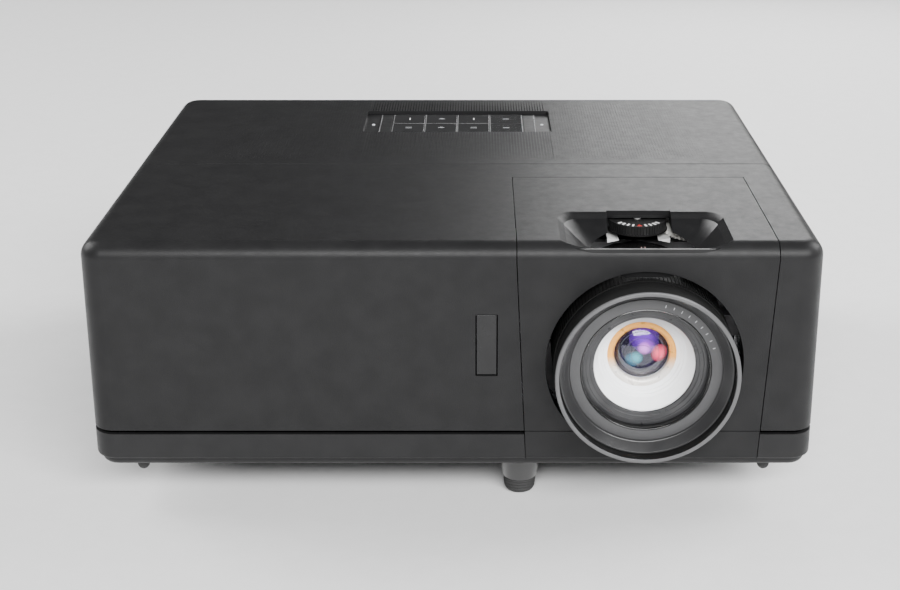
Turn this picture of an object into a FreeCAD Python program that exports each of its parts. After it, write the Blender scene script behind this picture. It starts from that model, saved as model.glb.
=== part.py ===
import FreeCAD
import Part
import math
import os

# Home projector: a wide, low laser projector with its lens at the right of the front.
# Frame: +X to the right of the front, +Y from the front to the back, +Z up. The origin is on the table,
# under the middle of the whole object. Most functions take a depth, measured back from the front face, and a
# height, measured up from the underside of the casing. Millimetres throughout.

# ---- driving dimensions --------------------------------------------------------------------------
BODY_W = 374.0          # casing, side to side
BODY_D = 302.0          # casing, front face to back face
BODY_H = 123.0          # casing, underside to top, without its feet
STAND = 24.0            # height of the underside above the table, feet as drawn

WALL = 2.5              # casing wall
CORNER_R = 12.0         # upright corners
TOP_R = 8.5             # rounded edge round the top
SEAM = 0.4              # visible gap between casing pieces
SKIN_H = 5.0            # lower edge of the outer skin
SKIN_R = 1.6            # rounding of that edge
SKIRT_H = 19.5          # joint line between the lower case and the covers above it
TRAY_INSET = 2.5        # the base tray stands in from the skin
TRAY_R = 4.0            # rounding under the base tray
CASE_SPLIT = 142.0      # depth of the joint between the front and rear covers

LENS_X = 97.75          # lens axis
LENS_H = 58.5
LENS_REACH = 18.5       # focus ring ahead of the front face
LENS_LIFT = 2.5         # lens shift, each way
RING_R = 46.5           # outside of the focus ring
RING_WALL = 2.3
MOUTH_GAP = 1.45        # room between the lens and its opening when the lens is shifted all the way
COLLAR_WALL = 2.0
COLLAR_D = 8.0
BARREL_WALL = 3.6
GLASS_R = 25.8          # clear radius of the front lens
INNER_GLASS_R = 14.0
RUN = 0.05              # radial clearance of turning and sliding fits
GAP = 0.3               # clearance of loose fits

COVER_X0 = 32.4         # lens cover, left and right seams on the top
COVER_X1 = 163.3
COVER_TAPER = 5.4       # each seam leans in by this much at the bottom of the front
COVER_D = 115.3         # back seam of the lens cover

RECESS_X0 = 53.0        # scooped recess over the lens
RECESS_X1 = 142.4
RECESS_D0 = 2.2
RECESS_D1 = 54.8
RECESS_DROP = 16.0
RECESS_WALL = 1.8
TUNNEL_GAP = 13.0       # room round the lens, where it cuts the recess
BAY_HALF_W = 16.9       # bay that the shift dial shows in

DIAL_R = 15.5
DIAL_D = 58.3           # depth of the dial's axis
DIAL_SINK = 10.0        # underside of the dial, below the top
DIAL_T = 5.0
DIAL_AXLE_R = 2.0
GEAR_T = 2.0
GEAR_MODULE = 0.8
DIAL_TEETH = 36
IDLER_TEETH = 46
PINION_TEETH = 12
SCREW_R = 3.0
PIVOT_R = 2.0           # thin ends of the shift screw

KEY_COLS = 4
KEY_ROWS = 2
KEY_PITCH_X = 20.7
KEY_PITCH_D = 21.4
KEY_WEB = 0.7
KEY_CLEAR = 0.15
KEY_TRAVEL = 0.8
KEYPAD_END = 17.7       # from the outer buttons to the keypad's ends and to its sides
KEYPAD_SIDE = 4.3
KEYPAD_TOP = 1.1        # button tops above the underside of the case top
KEYPAD_D = 238.8        # depth of the keypad's middle
KEYPAD_PLATE = 1.5
BUTTONS = (("button_power", "button_up", "button_source", "button_aspect"),
           ("button_menu", "button_down", "button_info", "button_enter"))

IR_X = 17.4             # infrared window in the front
IR_H = 69.0
IR_W = 10.2
IR_L = 32.6

GRILLE_H0 = 34.0        # side grilles: lower edge, and upper edge below the top
GRILLE_TOP = 24.0
GRILLES = ((30.0, 118.0), (166.0, 274.0))
SLOT_W = 2.6
SLOT_PITCH = 5.0
GRILLE_RIM = 5.0

PANEL_X0 = -138.0       # connector panel in the back
PANEL_X1 = 122.0
PANEL_H0 = 25.0
PANEL_H1 = 74.0
BOARD_T = 1.6
MAIN_BOARD_H = 28.4

FOOT_X = 35.4           # front foot
FOOT_D = 24.0
REAR_FOOT_SIDE = 39.0   # rear feet, in from the sides and from the back
REAR_FOOT_BACK = 30.0
FOOT_PAD_H = 8.0
FOOT_PAD_R = 8.8
FOOT_KNOB_H = 13.0
FOOT_KNOB_R = 11.0
FOOT_STEM_R = 4.0
FOOT_RETRACT = 13.0     # how far a foot winds up into the casing
FOOT_EXTEND = 6.0
STUB_SIDE = 23.0        # fixed corner feet, in from the sides and from the front
STUB_D = 13.5
STUB_R = 3.2
STUB_L = 7.0

POST_SIDE = 15.0        # casing screws and their posts, in from the sides, the ends and the case joint
POST_END = 16.0
POST_SPLIT = 12.0
POST_R = 4.0
SCREW_SHANK_R = 1.5
SCREW_HEAD_R = 2.8
SCREW_HEAD_T = 2.0
SCREW_HEAD_H = 4.0
SCREW_L = 22.0

MOUNT_X = 105.0         # ceiling mount threads in the underside
MOUNT_D0 = 86.0
MOUNT_D1 = 226.0
MOUNT_HOLE_R = 2.0
INSERT_R = 3.5
INSERT_L = 8.0

FAN_R = 32.0
FAN_T = 20.0
FAN_D = 220.0
FAN_RISE = 5.0          # fan axis above the middle of the casing
FAN_SIDE = 9.0          # fan frame, in from the side
FAN_HUB_R = 13.0
FAN_BLADES = 7

WHEEL_D = 146.0         # phosphor and colour wheels
WHEEL_H = 57.0
WHEEL_X = 30.0

FOCUS_END = 26.0        # depths along the lens
ZOOM_D0 = 29.0
ZOOM_D1 = 56.0
BARREL_D0 = 12.0
BARREL_D1 = 96.0
BARREL_STEP = 1.5       # the barrel is this much smaller behind the carriage
REAR_BORE = 19.0
SLEEVE_END = 28.0
SLEEVE_WALL = 2.5
CARRIAGE_D0 = 64.0
CARRIAGE_T = 5.0
MOUNT_PLATE_D = 79.0
MOUNT_PLATE_T = 3.0
MOUNT_SINK = 15.5       # top of the lens mount below the top of the casing
ROD_X = 55.5
ROD_D = 71.5
ROD_R = 3.0
POINTER_L = 6.5         # pointers beside the dial
POINTER_REACH = 8.0

ENGINE_X0 = 48.0        # housing of the mirrors and the imaging chip
ENGINE_X1 = 150.0
ENGINE_D0 = 104.0
ENGINE_D1 = 178.0
ENGINE_H0 = 14.0
ENGINE_WALL = 3.0
ENGINE_SINK = 22.0
LASER_X0 = -42.0        # laser block and its heat sink
LASER_X1 = 16.0
LASER_D0 = 114.0
LASER_D1 = 176.0
LASER_H0 = 24.0
LASER_H1 = 88.0
FIN_T = 1.4
FIN_PITCH = 5.0
FIN_X0 = -146.0

HDMI_X = (-62.0, -38.0) # sockets in the back, from the left of the front view
VGA_X = -4.0
USB_X = 26.0
LAN_X = 50.0
SERIAL_X = 84.0
JACK_X = (-100.0, -86.0)
INLET_X = -116.0
PORT_INSET = 0.4
PANEL_INSET = 0.9
LOCK_X = 109.5          # slot for a security lock
LOCK_H = 47.5
LOCK_W = 7.0
LOCK_T = 3.0

# ---- values that follow --------------------------------------------------------------------------
FRONT_Y = (LENS_REACH - BODY_D) / 2
OPENING_R = RING_R + LENS_LIFT + MOUTH_GAP
TUNNEL_R = RING_R + TUNNEL_GAP
DIAL_H = BODY_H - DIAL_SINK
GRILLE_H1 = BODY_H - GRILLE_TOP
KEYPAD_W = KEY_COLS * KEY_PITCH_X + 2 * KEYPAD_END
KEYPAD_L = KEY_ROWS * KEY_PITCH_D + 2 * KEYPAD_SIDE
REAR_FOOT_X = BODY_W / 2 - REAR_FOOT_SIDE
REAR_FOOT_D = BODY_D - REAR_FOOT_BACK
STUB_X = BODY_W / 2 - STUB_SIDE
POST_X = BODY_W / 2 - POST_SIDE
POST_DEPTHS = (POST_END, CASE_SPLIT - POST_SPLIT, CASE_SPLIT + POST_SPLIT, BODY_D - POST_END)
FAN_H = BODY_H / 2 + FAN_RISE
MOUNT_TOP_H = BODY_H - MOUNT_SINK
ROD_TOP_H = MOUNT_TOP_H - 2.0
PORT_BASE = MAIN_BOARD_H + BOARD_T
PORT_MOUTH = BODY_D - PORT_INSET
PANEL_FACE = BODY_D - PANEL_INSET
BARREL_R = RING_R - RING_WALL - RUN
BARREL_BORE = BARREL_R - BARREL_WALL
CELL_R = BARREL_BORE - RUN
CARRIAGE_HALF_H = BARREL_R - 0.5
GEAR_H = DIAL_H - GAP - GEAR_T
IDLER_X = LENS_X + GEAR_MODULE * (DIAL_TEETH + IDLER_TEETH) / 2
SCREW_X = IDLER_X + GEAR_MODULE * (IDLER_TEETH + PINION_TEETH) / 2
TOP_UNDER = BODY_H - WALL


# ---- building blocks -----------------------------------------------------------------------------
def at(x, depth, height):
    """Point at x, a depth behind the front face and a height above the underside."""
    return FreeCAD.Vector(x, FRONT_Y + depth, STAND + height)


def block(x0, x1, d0, d1, h0, h1):
    """Box between two x, two depths and two heights."""
    return Part.makeBox(x1 - x0, d1 - d0, h1 - h0, at(x0, d0, h0))


def post(x, depth, h0, h1, radius):
    """Upright cylinder."""
    return Part.makeCylinder(radius, h1 - h0, at(x, depth, h0), FreeCAD.Vector(0, 0, 1))


def across(depth, height, x0, x1, radius):
    """Cylinder from side to side."""
    return Part.makeCylinder(radius, x1 - x0, at(x0, depth, height), FreeCAD.Vector(1, 0, 0))


def inward(x, height, d0, d1, radius):
    """Cylinder from front to back."""
    return Part.makeCylinder(radius, d1 - d0, at(x, d0, height), FreeCAD.Vector(0, 1, 0))


def fuse(first, *others):
    """Union of the shapes as one clean solid."""
    return first.multiFuse(list(others)).removeSplitter() if others else first


def cut(shape, *tools):
    """The shape with every tool taken out."""
    return shape.cut(list(tools)) if tools else shape


def edges_where(shape, test):
    """Edges whose two ends satisfy the test."""
    return [e for e in shape.Edges if len(e.Vertexes) == 2 and test(e.Vertexes[0].Point, e.Vertexes[1].Point)]


def is_upright(a, b):
    return abs(a.x - b.x) < 1e-6 and abs(a.y - b.y) < 1e-6


def level_edges(shape, height):
    """Edges that lie at a height above the underside."""
    z = STAND + height
    return edges_where(shape, lambda a, b: abs(a.z - z) < 1e-6 and abs(b.z - z) < 1e-6)


def slab(inset, h0, h1, top_r=0.0, bottom_r=0.0):
    """The casing's plan, drawn in by an inset, between two heights, with its edges rounded."""
    half = BODY_W / 2 - inset
    body = block(-half, half, inset, BODY_D - inset, h0, h1)
    body = body.makeFillet(max(CORNER_R - inset, 1.5), edges_where(body, is_upright))
    if top_r > 0:
        body = body.makeFillet(top_r, level_edges(body, h1))
    if bottom_r > 0:
        body = body.makeFillet(bottom_r, level_edges(body, h0))
    return body


def turned(profile, x=LENS_X, height=LENS_H):
    """Solid of revolution about an axis that runs front to back. The profile is (radius, depth) points."""
    points = [at(x + r, d, height) for r, d in profile]
    face = Part.Face(Part.makePolygon(points + points[:1]))
    return face.revolve(at(x, 0, height), FreeCAD.Vector(0, 1, 0), 360)


def turned_upright(profile, x, depth):
    """Solid of revolution about an upright axis. The profile is (radius, height) points."""
    points = [at(x + r, depth, h) for r, h in profile]
    face = Part.Face(Part.makePolygon(points + points[:1]))
    return face.revolve(at(x, depth, 0), FreeCAD.Vector(0, 0, 1), 360)


def rounded_plate(x0, x1, d0, d1, h0, h1, radius):
    """Flat box with rounded upright edges."""
    plate = block(x0, x1, d0, d1, h0, h1)
    return plate.makeFillet(radius, edges_where(plate, is_upright))


def ribbed_disc(teeth, root_r, tip_r, half_root, half_tip, first_angle, place, length, direction):
    """Prism of a round outline with evenly spaced straight-sided teeth; half widths are in millimetres."""
    points = []
    for i in range(teeth):
        middle = math.radians(first_angle) + 2 * math.pi * i / teeth
        flanks = ((root_r, -half_root), (tip_r, -half_tip), (tip_r, half_tip), (root_r, half_root))
        for radius, half in flanks:
            turn = middle + half / radius
            points.append(FreeCAD.Vector(radius * math.cos(turn), radius * math.sin(turn), 0))
    prism = Part.Face(Part.makePolygon(points + points[:1])).extrude(FreeCAD.Vector(0, 0, length))
    prism.Placement = FreeCAD.Placement(place, FreeCAD.Rotation(FreeCAD.Vector(0, 0, 1), direction))
    return prism


def gear(teeth, x, first_angle):
    """Spur gear with an upright axis, in the plane of the shift gears."""
    pitch_r = GEAR_MODULE * teeth / 2
    half = math.pi * GEAR_MODULE / 4 - 0.13
    slope = math.tan(math.radians(20))
    return ribbed_disc(teeth, pitch_r - 1.2 * GEAR_MODULE, pitch_r + 0.85 * GEAR_MODULE,
                       half + 1.2 * GEAR_MODULE * slope * 0.75, half - 0.85 * GEAR_MODULE * slope,
                       first_angle, at(x, DIAL_D, GEAR_H), GEAR_T, FreeCAD.Vector(0, 0, 1))


def knurl_band(tip_r, depth0, depth1, teeth, groove=0.6):
    """Grip of fine straight ribs round the lens axis."""
    pitch = 2 * math.pi * tip_r / teeth
    return ribbed_disc(teeth, tip_r - groove, tip_r, pitch * 0.42, pitch * 0.22, 0,
                       at(LENS_X, depth0, LENS_H), depth1 - depth0, FreeCAD.Vector(0, 1, 0))


# ---- casing --------------------------------------------------------------------------------------
def skin():
    """Outer shell from its lower edge to the top, open below."""
    outside = slab(0, SKIN_H, BODY_H, TOP_R, SKIN_R)
    inside = slab(WALL, SKIN_H - 1, TOP_UNDER, TOP_R - WALL)
    return cut(outside, inside)


def cover_prism(grow):
    """Block that holds the lens cover: straight sided above, leaning in down the front."""
    knee = BODY_H - TOP_R
    left, right = COVER_X0 - grow, COVER_X1 + grow
    points = [(left, BODY_H + 5), (left, knee), (left + COVER_TAPER, SKIN_H - 1),
              (right - COVER_TAPER, SKIN_H - 1), (right, knee), (right, BODY_H + 5)]
    corners = [at(x, -5, h) for x, h in points]
    face = Part.Face(Part.makePolygon(corners + corners[:1]))
    return face.extrude(FreeCAD.Vector(0, COVER_D + 5 + grow, 0))


def recess_solid(grow):
    """Scooped recess over the lens, wide at the top and narrowing to a throat."""
    top = BODY_H + 1
    throat = BODY_H - RECESS_DROP - grow
    sides = RECESS_DROP * 1.44
    back = RECESS_DROP * 1.8
    upper = [RECESS_X0 - grow, RECESS_X1 + grow, RECESS_D0 - grow, RECESS_D1 + grow]
    lower = [RECESS_X0 + sides - grow, RECESS_X1 - sides + grow,
             RECESS_D0 + 2 - grow, RECESS_D1 - back + grow]
    wires = []
    for (x0, x1, d0, d1), height, radius in ((upper, top, 7.0 + grow), (lower, throat, 4.0 + grow)):
        face = rounded_plate(x0, x1, d0, d1, height, height + 1, radius)
        wires.append(min(face.Faces, key=lambda f: f.CenterOfMass.z).OuterWire)
    return Part.makeLoft(wires, True, True)


def bay(depth0, grow, h0, h1):
    """Upright-sided bay in which the shift dial shows."""
    return block(LENS_X - BAY_HALF_W - grow, LENS_X + BAY_HALF_W + grow, depth0, RECESS_D1 + grow, h0, h1)


def lens_cover():
    """Front right cover, with the round lens opening and the recess for the dial and the zoom lever."""
    plate = skin().common(cover_prism(-SEAM / 2))
    groove = block(COVER_X0 - 9, COVER_X1 + 9, -1, 0.5, SKIRT_H - SEAM / 2, SKIRT_H + SEAM / 2)
    ceiling = block(COVER_X0, COVER_X1, 0, COVER_D, 0, TOP_UNDER + 0.5)
    bay_floor = DIAL_H - 6
    scoop = fuse(recess_solid(RECESS_WALL), bay(RECESS_D0 + 14, RECESS_WALL, bay_floor, BODY_H - 1))
    scoop = scoop.common(ceiling)
    tunnel = inward(LENS_X, LENS_H, WALL + 1, RECESS_D1 + 20, TUNNEL_R)
    scoop = cut(scoop, tunnel, bay(RECESS_D0 + 14, 0, 0, BODY_H + 5), recess_solid(0))
    behind_bay = block(LENS_X - BAY_HALF_W, LENS_X + BAY_HALF_W, RECESS_D1 - 1, RECESS_D1 + 5,
                       bay_floor - 1, DIAL_H + DIAL_T + 1)
    rim = OPENING_R + COLLAR_WALL
    collar = turned([(OPENING_R, 0.5), (rim, 0.5), (rim, COLLAR_D), (OPENING_R, COLLAR_D)])
    collar = collar.common(block(COVER_X0, COVER_X1, 0, 20, SKIN_H + 1, BODY_H))
    mouth = inward(LENS_X, LENS_H, -5, WALL + 6, OPENING_R)
    shell = cut(plate, recess_solid(0), bay(RECESS_D0 + 14, 0, TOP_UNDER - 1, BODY_H + 5), groove)
    return cut(fuse(shell, cut(scoop, behind_bay), collar), mouth)


def side_window(sign, d0, d1, grow=0.0):
    """Opening in a side wall for a grille."""
    x = sign * BODY_W / 2
    return block(min(x, x - sign * 6) - 1, max(x, x - sign * 6) + 1, d0 - grow, d1 + grow,
                 GRILLE_H0 - grow, GRILLE_H1 + grow)


def screw_posts(depths):
    """Posts under the top that take the casing screws, and the pilot holes in them."""
    posts, holes = [], []
    for depth in depths:
        for sign in (-1, 1):
            posts.append(post(sign * POST_X, depth, SKIRT_H + SEAM / 2, TOP_UNDER + 0.5, POST_R))
            holes.append(post(sign * POST_X, depth, SKIRT_H, SCREW_HEAD_H + SCREW_HEAD_T + SCREW_L + 1,
                              SCREW_SHANK_R + RUN))
    return posts, holes


def front_case():
    """Front cover: the wide front, both front sides and the front of the top."""
    region = block(-BODY_W, BODY_W, -5, CASE_SPLIT - SEAM / 2, SKIRT_H + SEAM / 2, BODY_H + 5)
    shell = cut(skin().common(region), cover_prism(SEAM / 2))
    posts, holes = screw_posts(POST_DEPTHS[:2])
    ir_hole = block(IR_X - IR_W / 2 - 0.6, IR_X + IR_W / 2 + 0.9, -5, WALL + 5,
                    IR_H - IR_L / 2 - 0.6, IR_H + IR_L / 2 + 0.6)
    windows = [side_window(sign, *GRILLES[0]) for sign in (-1, 1)]
    return cut(fuse(shell, *posts), ir_hole, *windows, *holes)


def rear_case():
    """Rear cover: the ribbed rear of the top, both rear sides and the back."""
    region = block(-BODY_W, BODY_W, CASE_SPLIT + SEAM / 2, BODY_D + 5, SKIRT_H + SEAM / 2, BODY_H + 5)
    posts, holes = screw_posts(POST_DEPTHS[2:])
    keypad_hole = rounded_plate(-KEYPAD_W / 2, KEYPAD_W / 2, KEYPAD_D - KEYPAD_L / 2, KEYPAD_D + KEYPAD_L / 2,
                                TOP_UNDER - 2, BODY_H + 5, 2.0)
    panel_hole = block(PANEL_X0, PANEL_X1, BODY_D - WALL - 5, BODY_D + 5, PANEL_H0, PANEL_H1)
    windows = [side_window(sign, *GRILLES[1]) for sign in (-1, 1)]
    return cut(fuse(skin().common(region), *posts), keypad_hole, panel_hole, *windows, *holes)


def foot_places():
    """Names and places of the three screw feet."""
    return (("front_foot", FOOT_X, FOOT_D), ("left_rear_foot", -REAR_FOOT_X, REAR_FOOT_D),
            ("right_rear_foot", REAR_FOOT_X, REAR_FOOT_D))


def mount_places():
    """Places of the four ceiling mount threads."""
    return [(sign * MOUNT_X, depth) for sign in (-1, 1) for depth in (MOUNT_D0, MOUNT_D1)]


def foot_well_h():
    """Height of the well that a foot's knob winds up into."""
    return max(FOOT_PAD_H + FOOT_KNOB_H + FOOT_RETRACT + 1 - STAND, 2 * WALL)


def lower_case():
    """Base tray and skirt, with wells for the feet and bosses for the screws and mount threads."""
    skirt_top = SKIRT_H - SEAM / 2
    outside = fuse(slab(0, SKIN_H, skirt_top, 0, SKIN_R), slab(TRAY_INSET, 0, SKIN_H + 3, 0, TRAY_R))
    inside = slab(TRAY_INSET + WALL, WALL, skirt_top + 5, 0, TRAY_R - WALL)
    upper_inside = slab(WALL, SKIN_H + 3 + WALL, skirt_top + 5)
    front_notch = cover_prism(SEAM / 2).common(block(-BODY_W, BODY_W, -5, WALL + GAP, SKIN_H - 0.5, BODY_H))
    collar_notch = inward(LENS_X, LENS_H, -5, COLLAR_D + GAP, OPENING_R + COLLAR_WALL + GAP)
    shell = cut(outside, inside, upper_inside, front_notch, collar_notch)
    add, remove = [], []
    floor = WALL / 2
    well_h = foot_well_h()
    for _, x, depth in foot_places():
        add.append(post(x, depth, floor, well_h + WALL, FOOT_KNOB_R + 1 + 2))
        add.append(post(x, depth, floor, well_h + WALL + INSERT_L + 1, FOOT_STEM_R + 5))
        remove.append(post(x, depth, -5, well_h, FOOT_KNOB_R + 1))
        remove.append(post(x, depth, well_h - 1, well_h + WALL + INSERT_L + 5, FOOT_STEM_R + 3))
    for x, depth in mount_places():
        add.append(post(x, depth, floor, INSERT_L + 1.5, INSERT_R + 2.5))
        remove.append(post(x, depth, -1, INSERT_L + 0.5, INSERT_R))
    for depth in POST_DEPTHS:
        for sign in (-1, 1):
            add.append(post(sign * POST_X, depth, floor, skirt_top, POST_R))
            remove.append(post(sign * POST_X, depth, -1, SCREW_HEAD_H + SCREW_HEAD_T, SCREW_HEAD_R + 0.2))
            remove.append(post(sign * POST_X, depth, 0, skirt_top + 1, SCREW_SHANK_R + 0.2))
    return cut(fuse(shell, *add), *remove)


def side_grilles():
    """Two slotted grilles on each side, each a separate plate."""
    plates = []
    outer = BODY_W / 2 - 0.6
    for sign, (d0, d1) in [(sign, span) for sign in (-1, 1) for span in GRILLES]:
        x0, x1 = sorted((sign * outer, sign * (outer - WALL + 0.1)))
        plate = block(x0, x1, d0 + GAP, d1 - GAP, GRILLE_H0 + GAP, GRILLE_H1 - GAP)
        inner = sign * (BODY_W / 2 - WALL - 0.1)
        f0, f1 = sorted((inner, inner - sign * 1.2))
        flange = block(f0, f1, d0 - 3, d1 + 3, GRILLE_H0 - 3, GRILLE_H1 + 3)
        flange = cut(flange, block(f0 - 1, f1 + 1, d0 + 3, d1 - 3, GRILLE_H0 + 3, GRILLE_H1 - 3))
        count = int((d1 - d0 - 2 * GRILLE_RIM) / SLOT_PITCH)
        first = (d0 + d1 - (count - 1) * SLOT_PITCH) / 2
        starts = [first + i * SLOT_PITCH - SLOT_W / 2 for i in range(count)]
        slots = [block(x0 - 1, x1 + 1, start, start + SLOT_W, GRILLE_H0 + GRILLE_RIM, GRILLE_H1 - GRILLE_RIM)
                 for start in starts]
        plates.append(cut(fuse(plate, flange), *slots))
    return Part.makeCompound(plates)


def ir_window():
    """Dark window over the infrared receiver, held by a flange behind the front."""
    pane = block(IR_X - IR_W / 2, IR_X + IR_W / 2, 0.7, WALL + 1, IR_H - IR_L / 2, IR_H + IR_L / 2)
    flange = block(IR_X - IR_W / 2 - 2.5, IR_X + IR_W / 2 + 2.5, WALL + 0.1, WALL + 1.3,
                   IR_H - IR_L / 2 - 2.5, IR_H + IR_L / 2 + 2.5)
    return fuse(pane, flange)


def case_screws():
    """Eight identical screws that hold the covers to the lower case."""
    screws = []
    head_top = SCREW_HEAD_H + SCREW_HEAD_T
    for depth in POST_DEPTHS:
        for sign in (-1, 1):
            head = post(sign * POST_X, depth, SCREW_HEAD_H, head_top - 0.05, SCREW_HEAD_R)
            shank = post(sign * POST_X, depth, SCREW_HEAD_H + 0.5, head_top + SCREW_L, SCREW_SHANK_R)
            slots = [block(sign * POST_X - a, sign * POST_X + a, depth - b, depth + b, SCREW_HEAD_H - 1,
                           SCREW_HEAD_H + 0.9) for a, b in ((1.8, 0.4), (0.4, 1.8))]
            screws.append(cut(fuse(head, shank), *slots))
    return Part.makeCompound(screws)


# ---- keypad --------------------------------------------------------------------------------------
def key_centre(row, col):
    """Place of a button; row 0 is nearest the back."""
    return ((col - (KEY_COLS - 1) / 2) * KEY_PITCH_X, KEYPAD_D + ((KEY_ROWS - 1) / 2 - row) * KEY_PITCH_D)


def key_block(row, col, shrink, h0, h1):
    """Block on a button's cell, drawn in from the cell's edges."""
    x, depth = key_centre(row, col)
    a, b = KEY_PITCH_X / 2 - shrink, KEY_PITCH_D / 2 - shrink
    return block(x - a, x + a, depth - b, depth + b, h0, h1)


def status_places():
    """Sideways places of the two status lights."""
    reach = KEYPAD_W / 2 - 5.0
    return (-reach, reach)


def keypad_panel():
    """Plate under the keypad hole, with a raised web round each button and a raised bar at each end."""
    top = TOP_UNDER - 0.05
    half_w, half_l = KEYPAD_W / 2 + 3, KEYPAD_L / 2 + 3
    plate = block(-half_w, half_w, KEYPAD_D - half_l, KEYPAD_D + half_l, top - KEYPAD_PLATE, top)
    keys_w, keys_l = KEY_COLS * KEY_PITCH_X / 2, KEY_ROWS * KEY_PITCH_D / 2
    rim = KEY_WEB / 2 + 0.05
    web = block(-keys_w - rim, keys_w + rim, KEYPAD_D - keys_l - rim, KEYPAD_D + keys_l + rim,
                top - 0.5, top + 1.0)
    bars = []
    for sign in (-1, 1):
        x0, x1 = sorted((sign * (keys_w + 1.0), sign * (keys_w + 9.0)))
        bars.append(block(x0, x1, KEYPAD_D - keys_l, KEYPAD_D + keys_l, top - 0.5, top + 0.6))
    places = [(row, col) for row in range(KEY_ROWS) for col in range(KEY_COLS)]
    holes = [key_block(row, col, KEY_WEB / 2, 0, BODY_H + 5) for row, col in places]
    lights = [post(x, KEYPAD_D, 0, BODY_H, 1.1) for x in status_places()]
    return cut(fuse(plate, web, *bars), *holes, *lights)


def button(row, col):
    """Keypad button with a retaining flange below the plate and a plunger over its switch."""
    top = TOP_UNDER + KEYPAD_TOP
    under = TOP_UNDER - 0.05 - KEYPAD_PLATE
    cap = key_block(row, col, KEY_WEB / 2 + KEY_CLEAR, under - 0.5, top)
    cap = cap.makeFillet(0.5, level_edges(cap, top))
    flange = key_block(row, col, 0.12, under - 1.6, under - 0.1)
    x, depth = key_centre(row, col)
    return fuse(cap, flange, post(x, depth, under - 3.2, under - 1, 2.0))


def status_lights():
    """Two light pipes that show in the ends of the keypad."""
    pipes = [post(x, KEYPAD_D, TOP_UNDER - 7.5, TOP_UNDER + 0.4, 1.0) for x in status_places()]
    return Part.makeCompound(pipes)


def keypad_board():
    """Circuit board under the keypad, with a dome switch under each button."""
    under = TOP_UNDER - 0.05 - KEYPAD_PLATE
    switch_top = under - 3.2 - KEY_TRAVEL - 0.25
    board_top = switch_top - 1.8
    half_w, half_l = KEYPAD_W / 2 - 2, KEYPAD_L / 2 - 1
    board = block(-half_w, half_w, KEYPAD_D - half_l, KEYPAD_D + half_l,
                  board_top - BOARD_T, board_top)
    switches = []
    for row in range(KEY_ROWS):
        for col in range(KEY_COLS):
            x, depth = key_centre(row, col)
            switches.append(post(x, depth, board_top - 0.5, switch_top, 3.0))
    holes = [post(x, KEYPAD_D, 0, BODY_H, 1.3) for x in status_places()]
    return cut(fuse(board, *switches), *holes)


# ---- lens ----------------------------------------------------------------------------------------
def focus_ring():
    """Knurled outer ring with a plain front rim; it turns on the barrel."""
    bore, seat = RING_R - RING_WALL, RING_R - 0.7
    tube = turned([(bore, -LENS_REACH), (RING_R - 0.5, -LENS_REACH), (RING_R, -LENS_REACH + 0.5),
                   (RING_R, -3.0), (seat, -3.0), (seat, FOCUS_END), (bore, FOCUS_END)])
    grip = cut(knurl_band(RING_R, -2.0, FOCUS_END - 1, 96),
               inward(LENS_X, LENS_H, -10, FOCUS_END + 5, RING_R - 1.2))
    return fuse(tube, grip)


def front_lens_cell():
    """Cell of the front lens: outer cone, flat ring, inner wall and the sleeve that slides in the barrel."""
    outer = RING_R - RING_WALL - GAP - RUN
    wall, flat = [GLASS_R + share * (outer - GLASS_R) for share in (0.366, 0.704)]
    return turned([(outer, -12.8), (outer, BARREL_D0 - 4), (CELL_R, BARREL_D0 - 4), (CELL_R, SLEEVE_END),
                   (CELL_R - SLEEVE_WALL, SLEEVE_END), (CELL_R - SLEEVE_WALL, 3.3), (GLASS_R + 1.8, 3.3),
                   (GLASS_R + 1.8, -0.2), (GLASS_R, -0.2), (GLASS_R + 0.4, -1.2),
                   (wall - 2, -2.6), (wall, -2.6),
                   (wall, -7.2), (wall + 0.4, -7.6), (flat, -7.6), (flat, -7.1), (flat + 0.5, -7.1),
                   (flat + 0.5, -7.9), (outer - 0.7, -12.8)])


def domed_lens(d0, d1, radius, rise, steps=8):
    """Round lens between two depths, flat behind and domed in front by a rise, in narrow conical bands."""
    ball_r = (radius ** 2 + rise ** 2) / (2 * rise)
    radii = [radius * i / steps for i in range(steps + 1)]
    dome = [(r, d0 + ball_r - math.sqrt(ball_r ** 2 - r ** 2)) for r in radii]
    return turned(dome + [(radius, d1), (0, d1)])


def front_lens():
    """Front lens, seated behind the lip of its cell."""
    return domed_lens(-2.7, 3.2, GLASS_R + 1.75, 3.0)


def lens_baffle():
    """Bright stepped funnel behind the front lens, down to the inner lens."""
    outer = CELL_R - SLEEVE_WALL - RUN
    g = INNER_GLASS_R
    return turned([(outer, 3.4), (outer, SLEEVE_END - 2), (g + 0.1, SLEEVE_END - 2), (g + 0.1, 16.2),
                   (g - 0.6, 16.2), (g - 0.6, 15.5), (g + 1.2, 14.9), (g + 2.4, 15.2), (g + 3.0, 14.2),
                   (g + 5.4, 13.4), (g + 5.6, 12.3),
                   (g + 6.8, 12.0), (g + 7.1, 11.0), (g + 8.4, 10.6), (GLASS_R + 0.6, 3.4)])


def inner_lens():
    """Dark domed lens at the foot of the funnel."""
    return domed_lens(12.2, 22, INNER_GLASS_R, 4.6)


def lens_barrel():
    """Fixed tube of the lens, on the carriage; the rings turn on it."""
    return turned([(BARREL_BORE, BARREL_D0), (BARREL_R, BARREL_D0), (BARREL_R, CARRIAGE_D0),
                   (BARREL_R - BARREL_STEP, CARRIAGE_D0), (BARREL_R - BARREL_STEP, BARREL_D1),
                   (REAR_BORE, BARREL_D1),
                   (REAR_BORE, BARREL_D1 - 4), (BARREL_BORE, BARREL_D1 - 4)])


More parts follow.
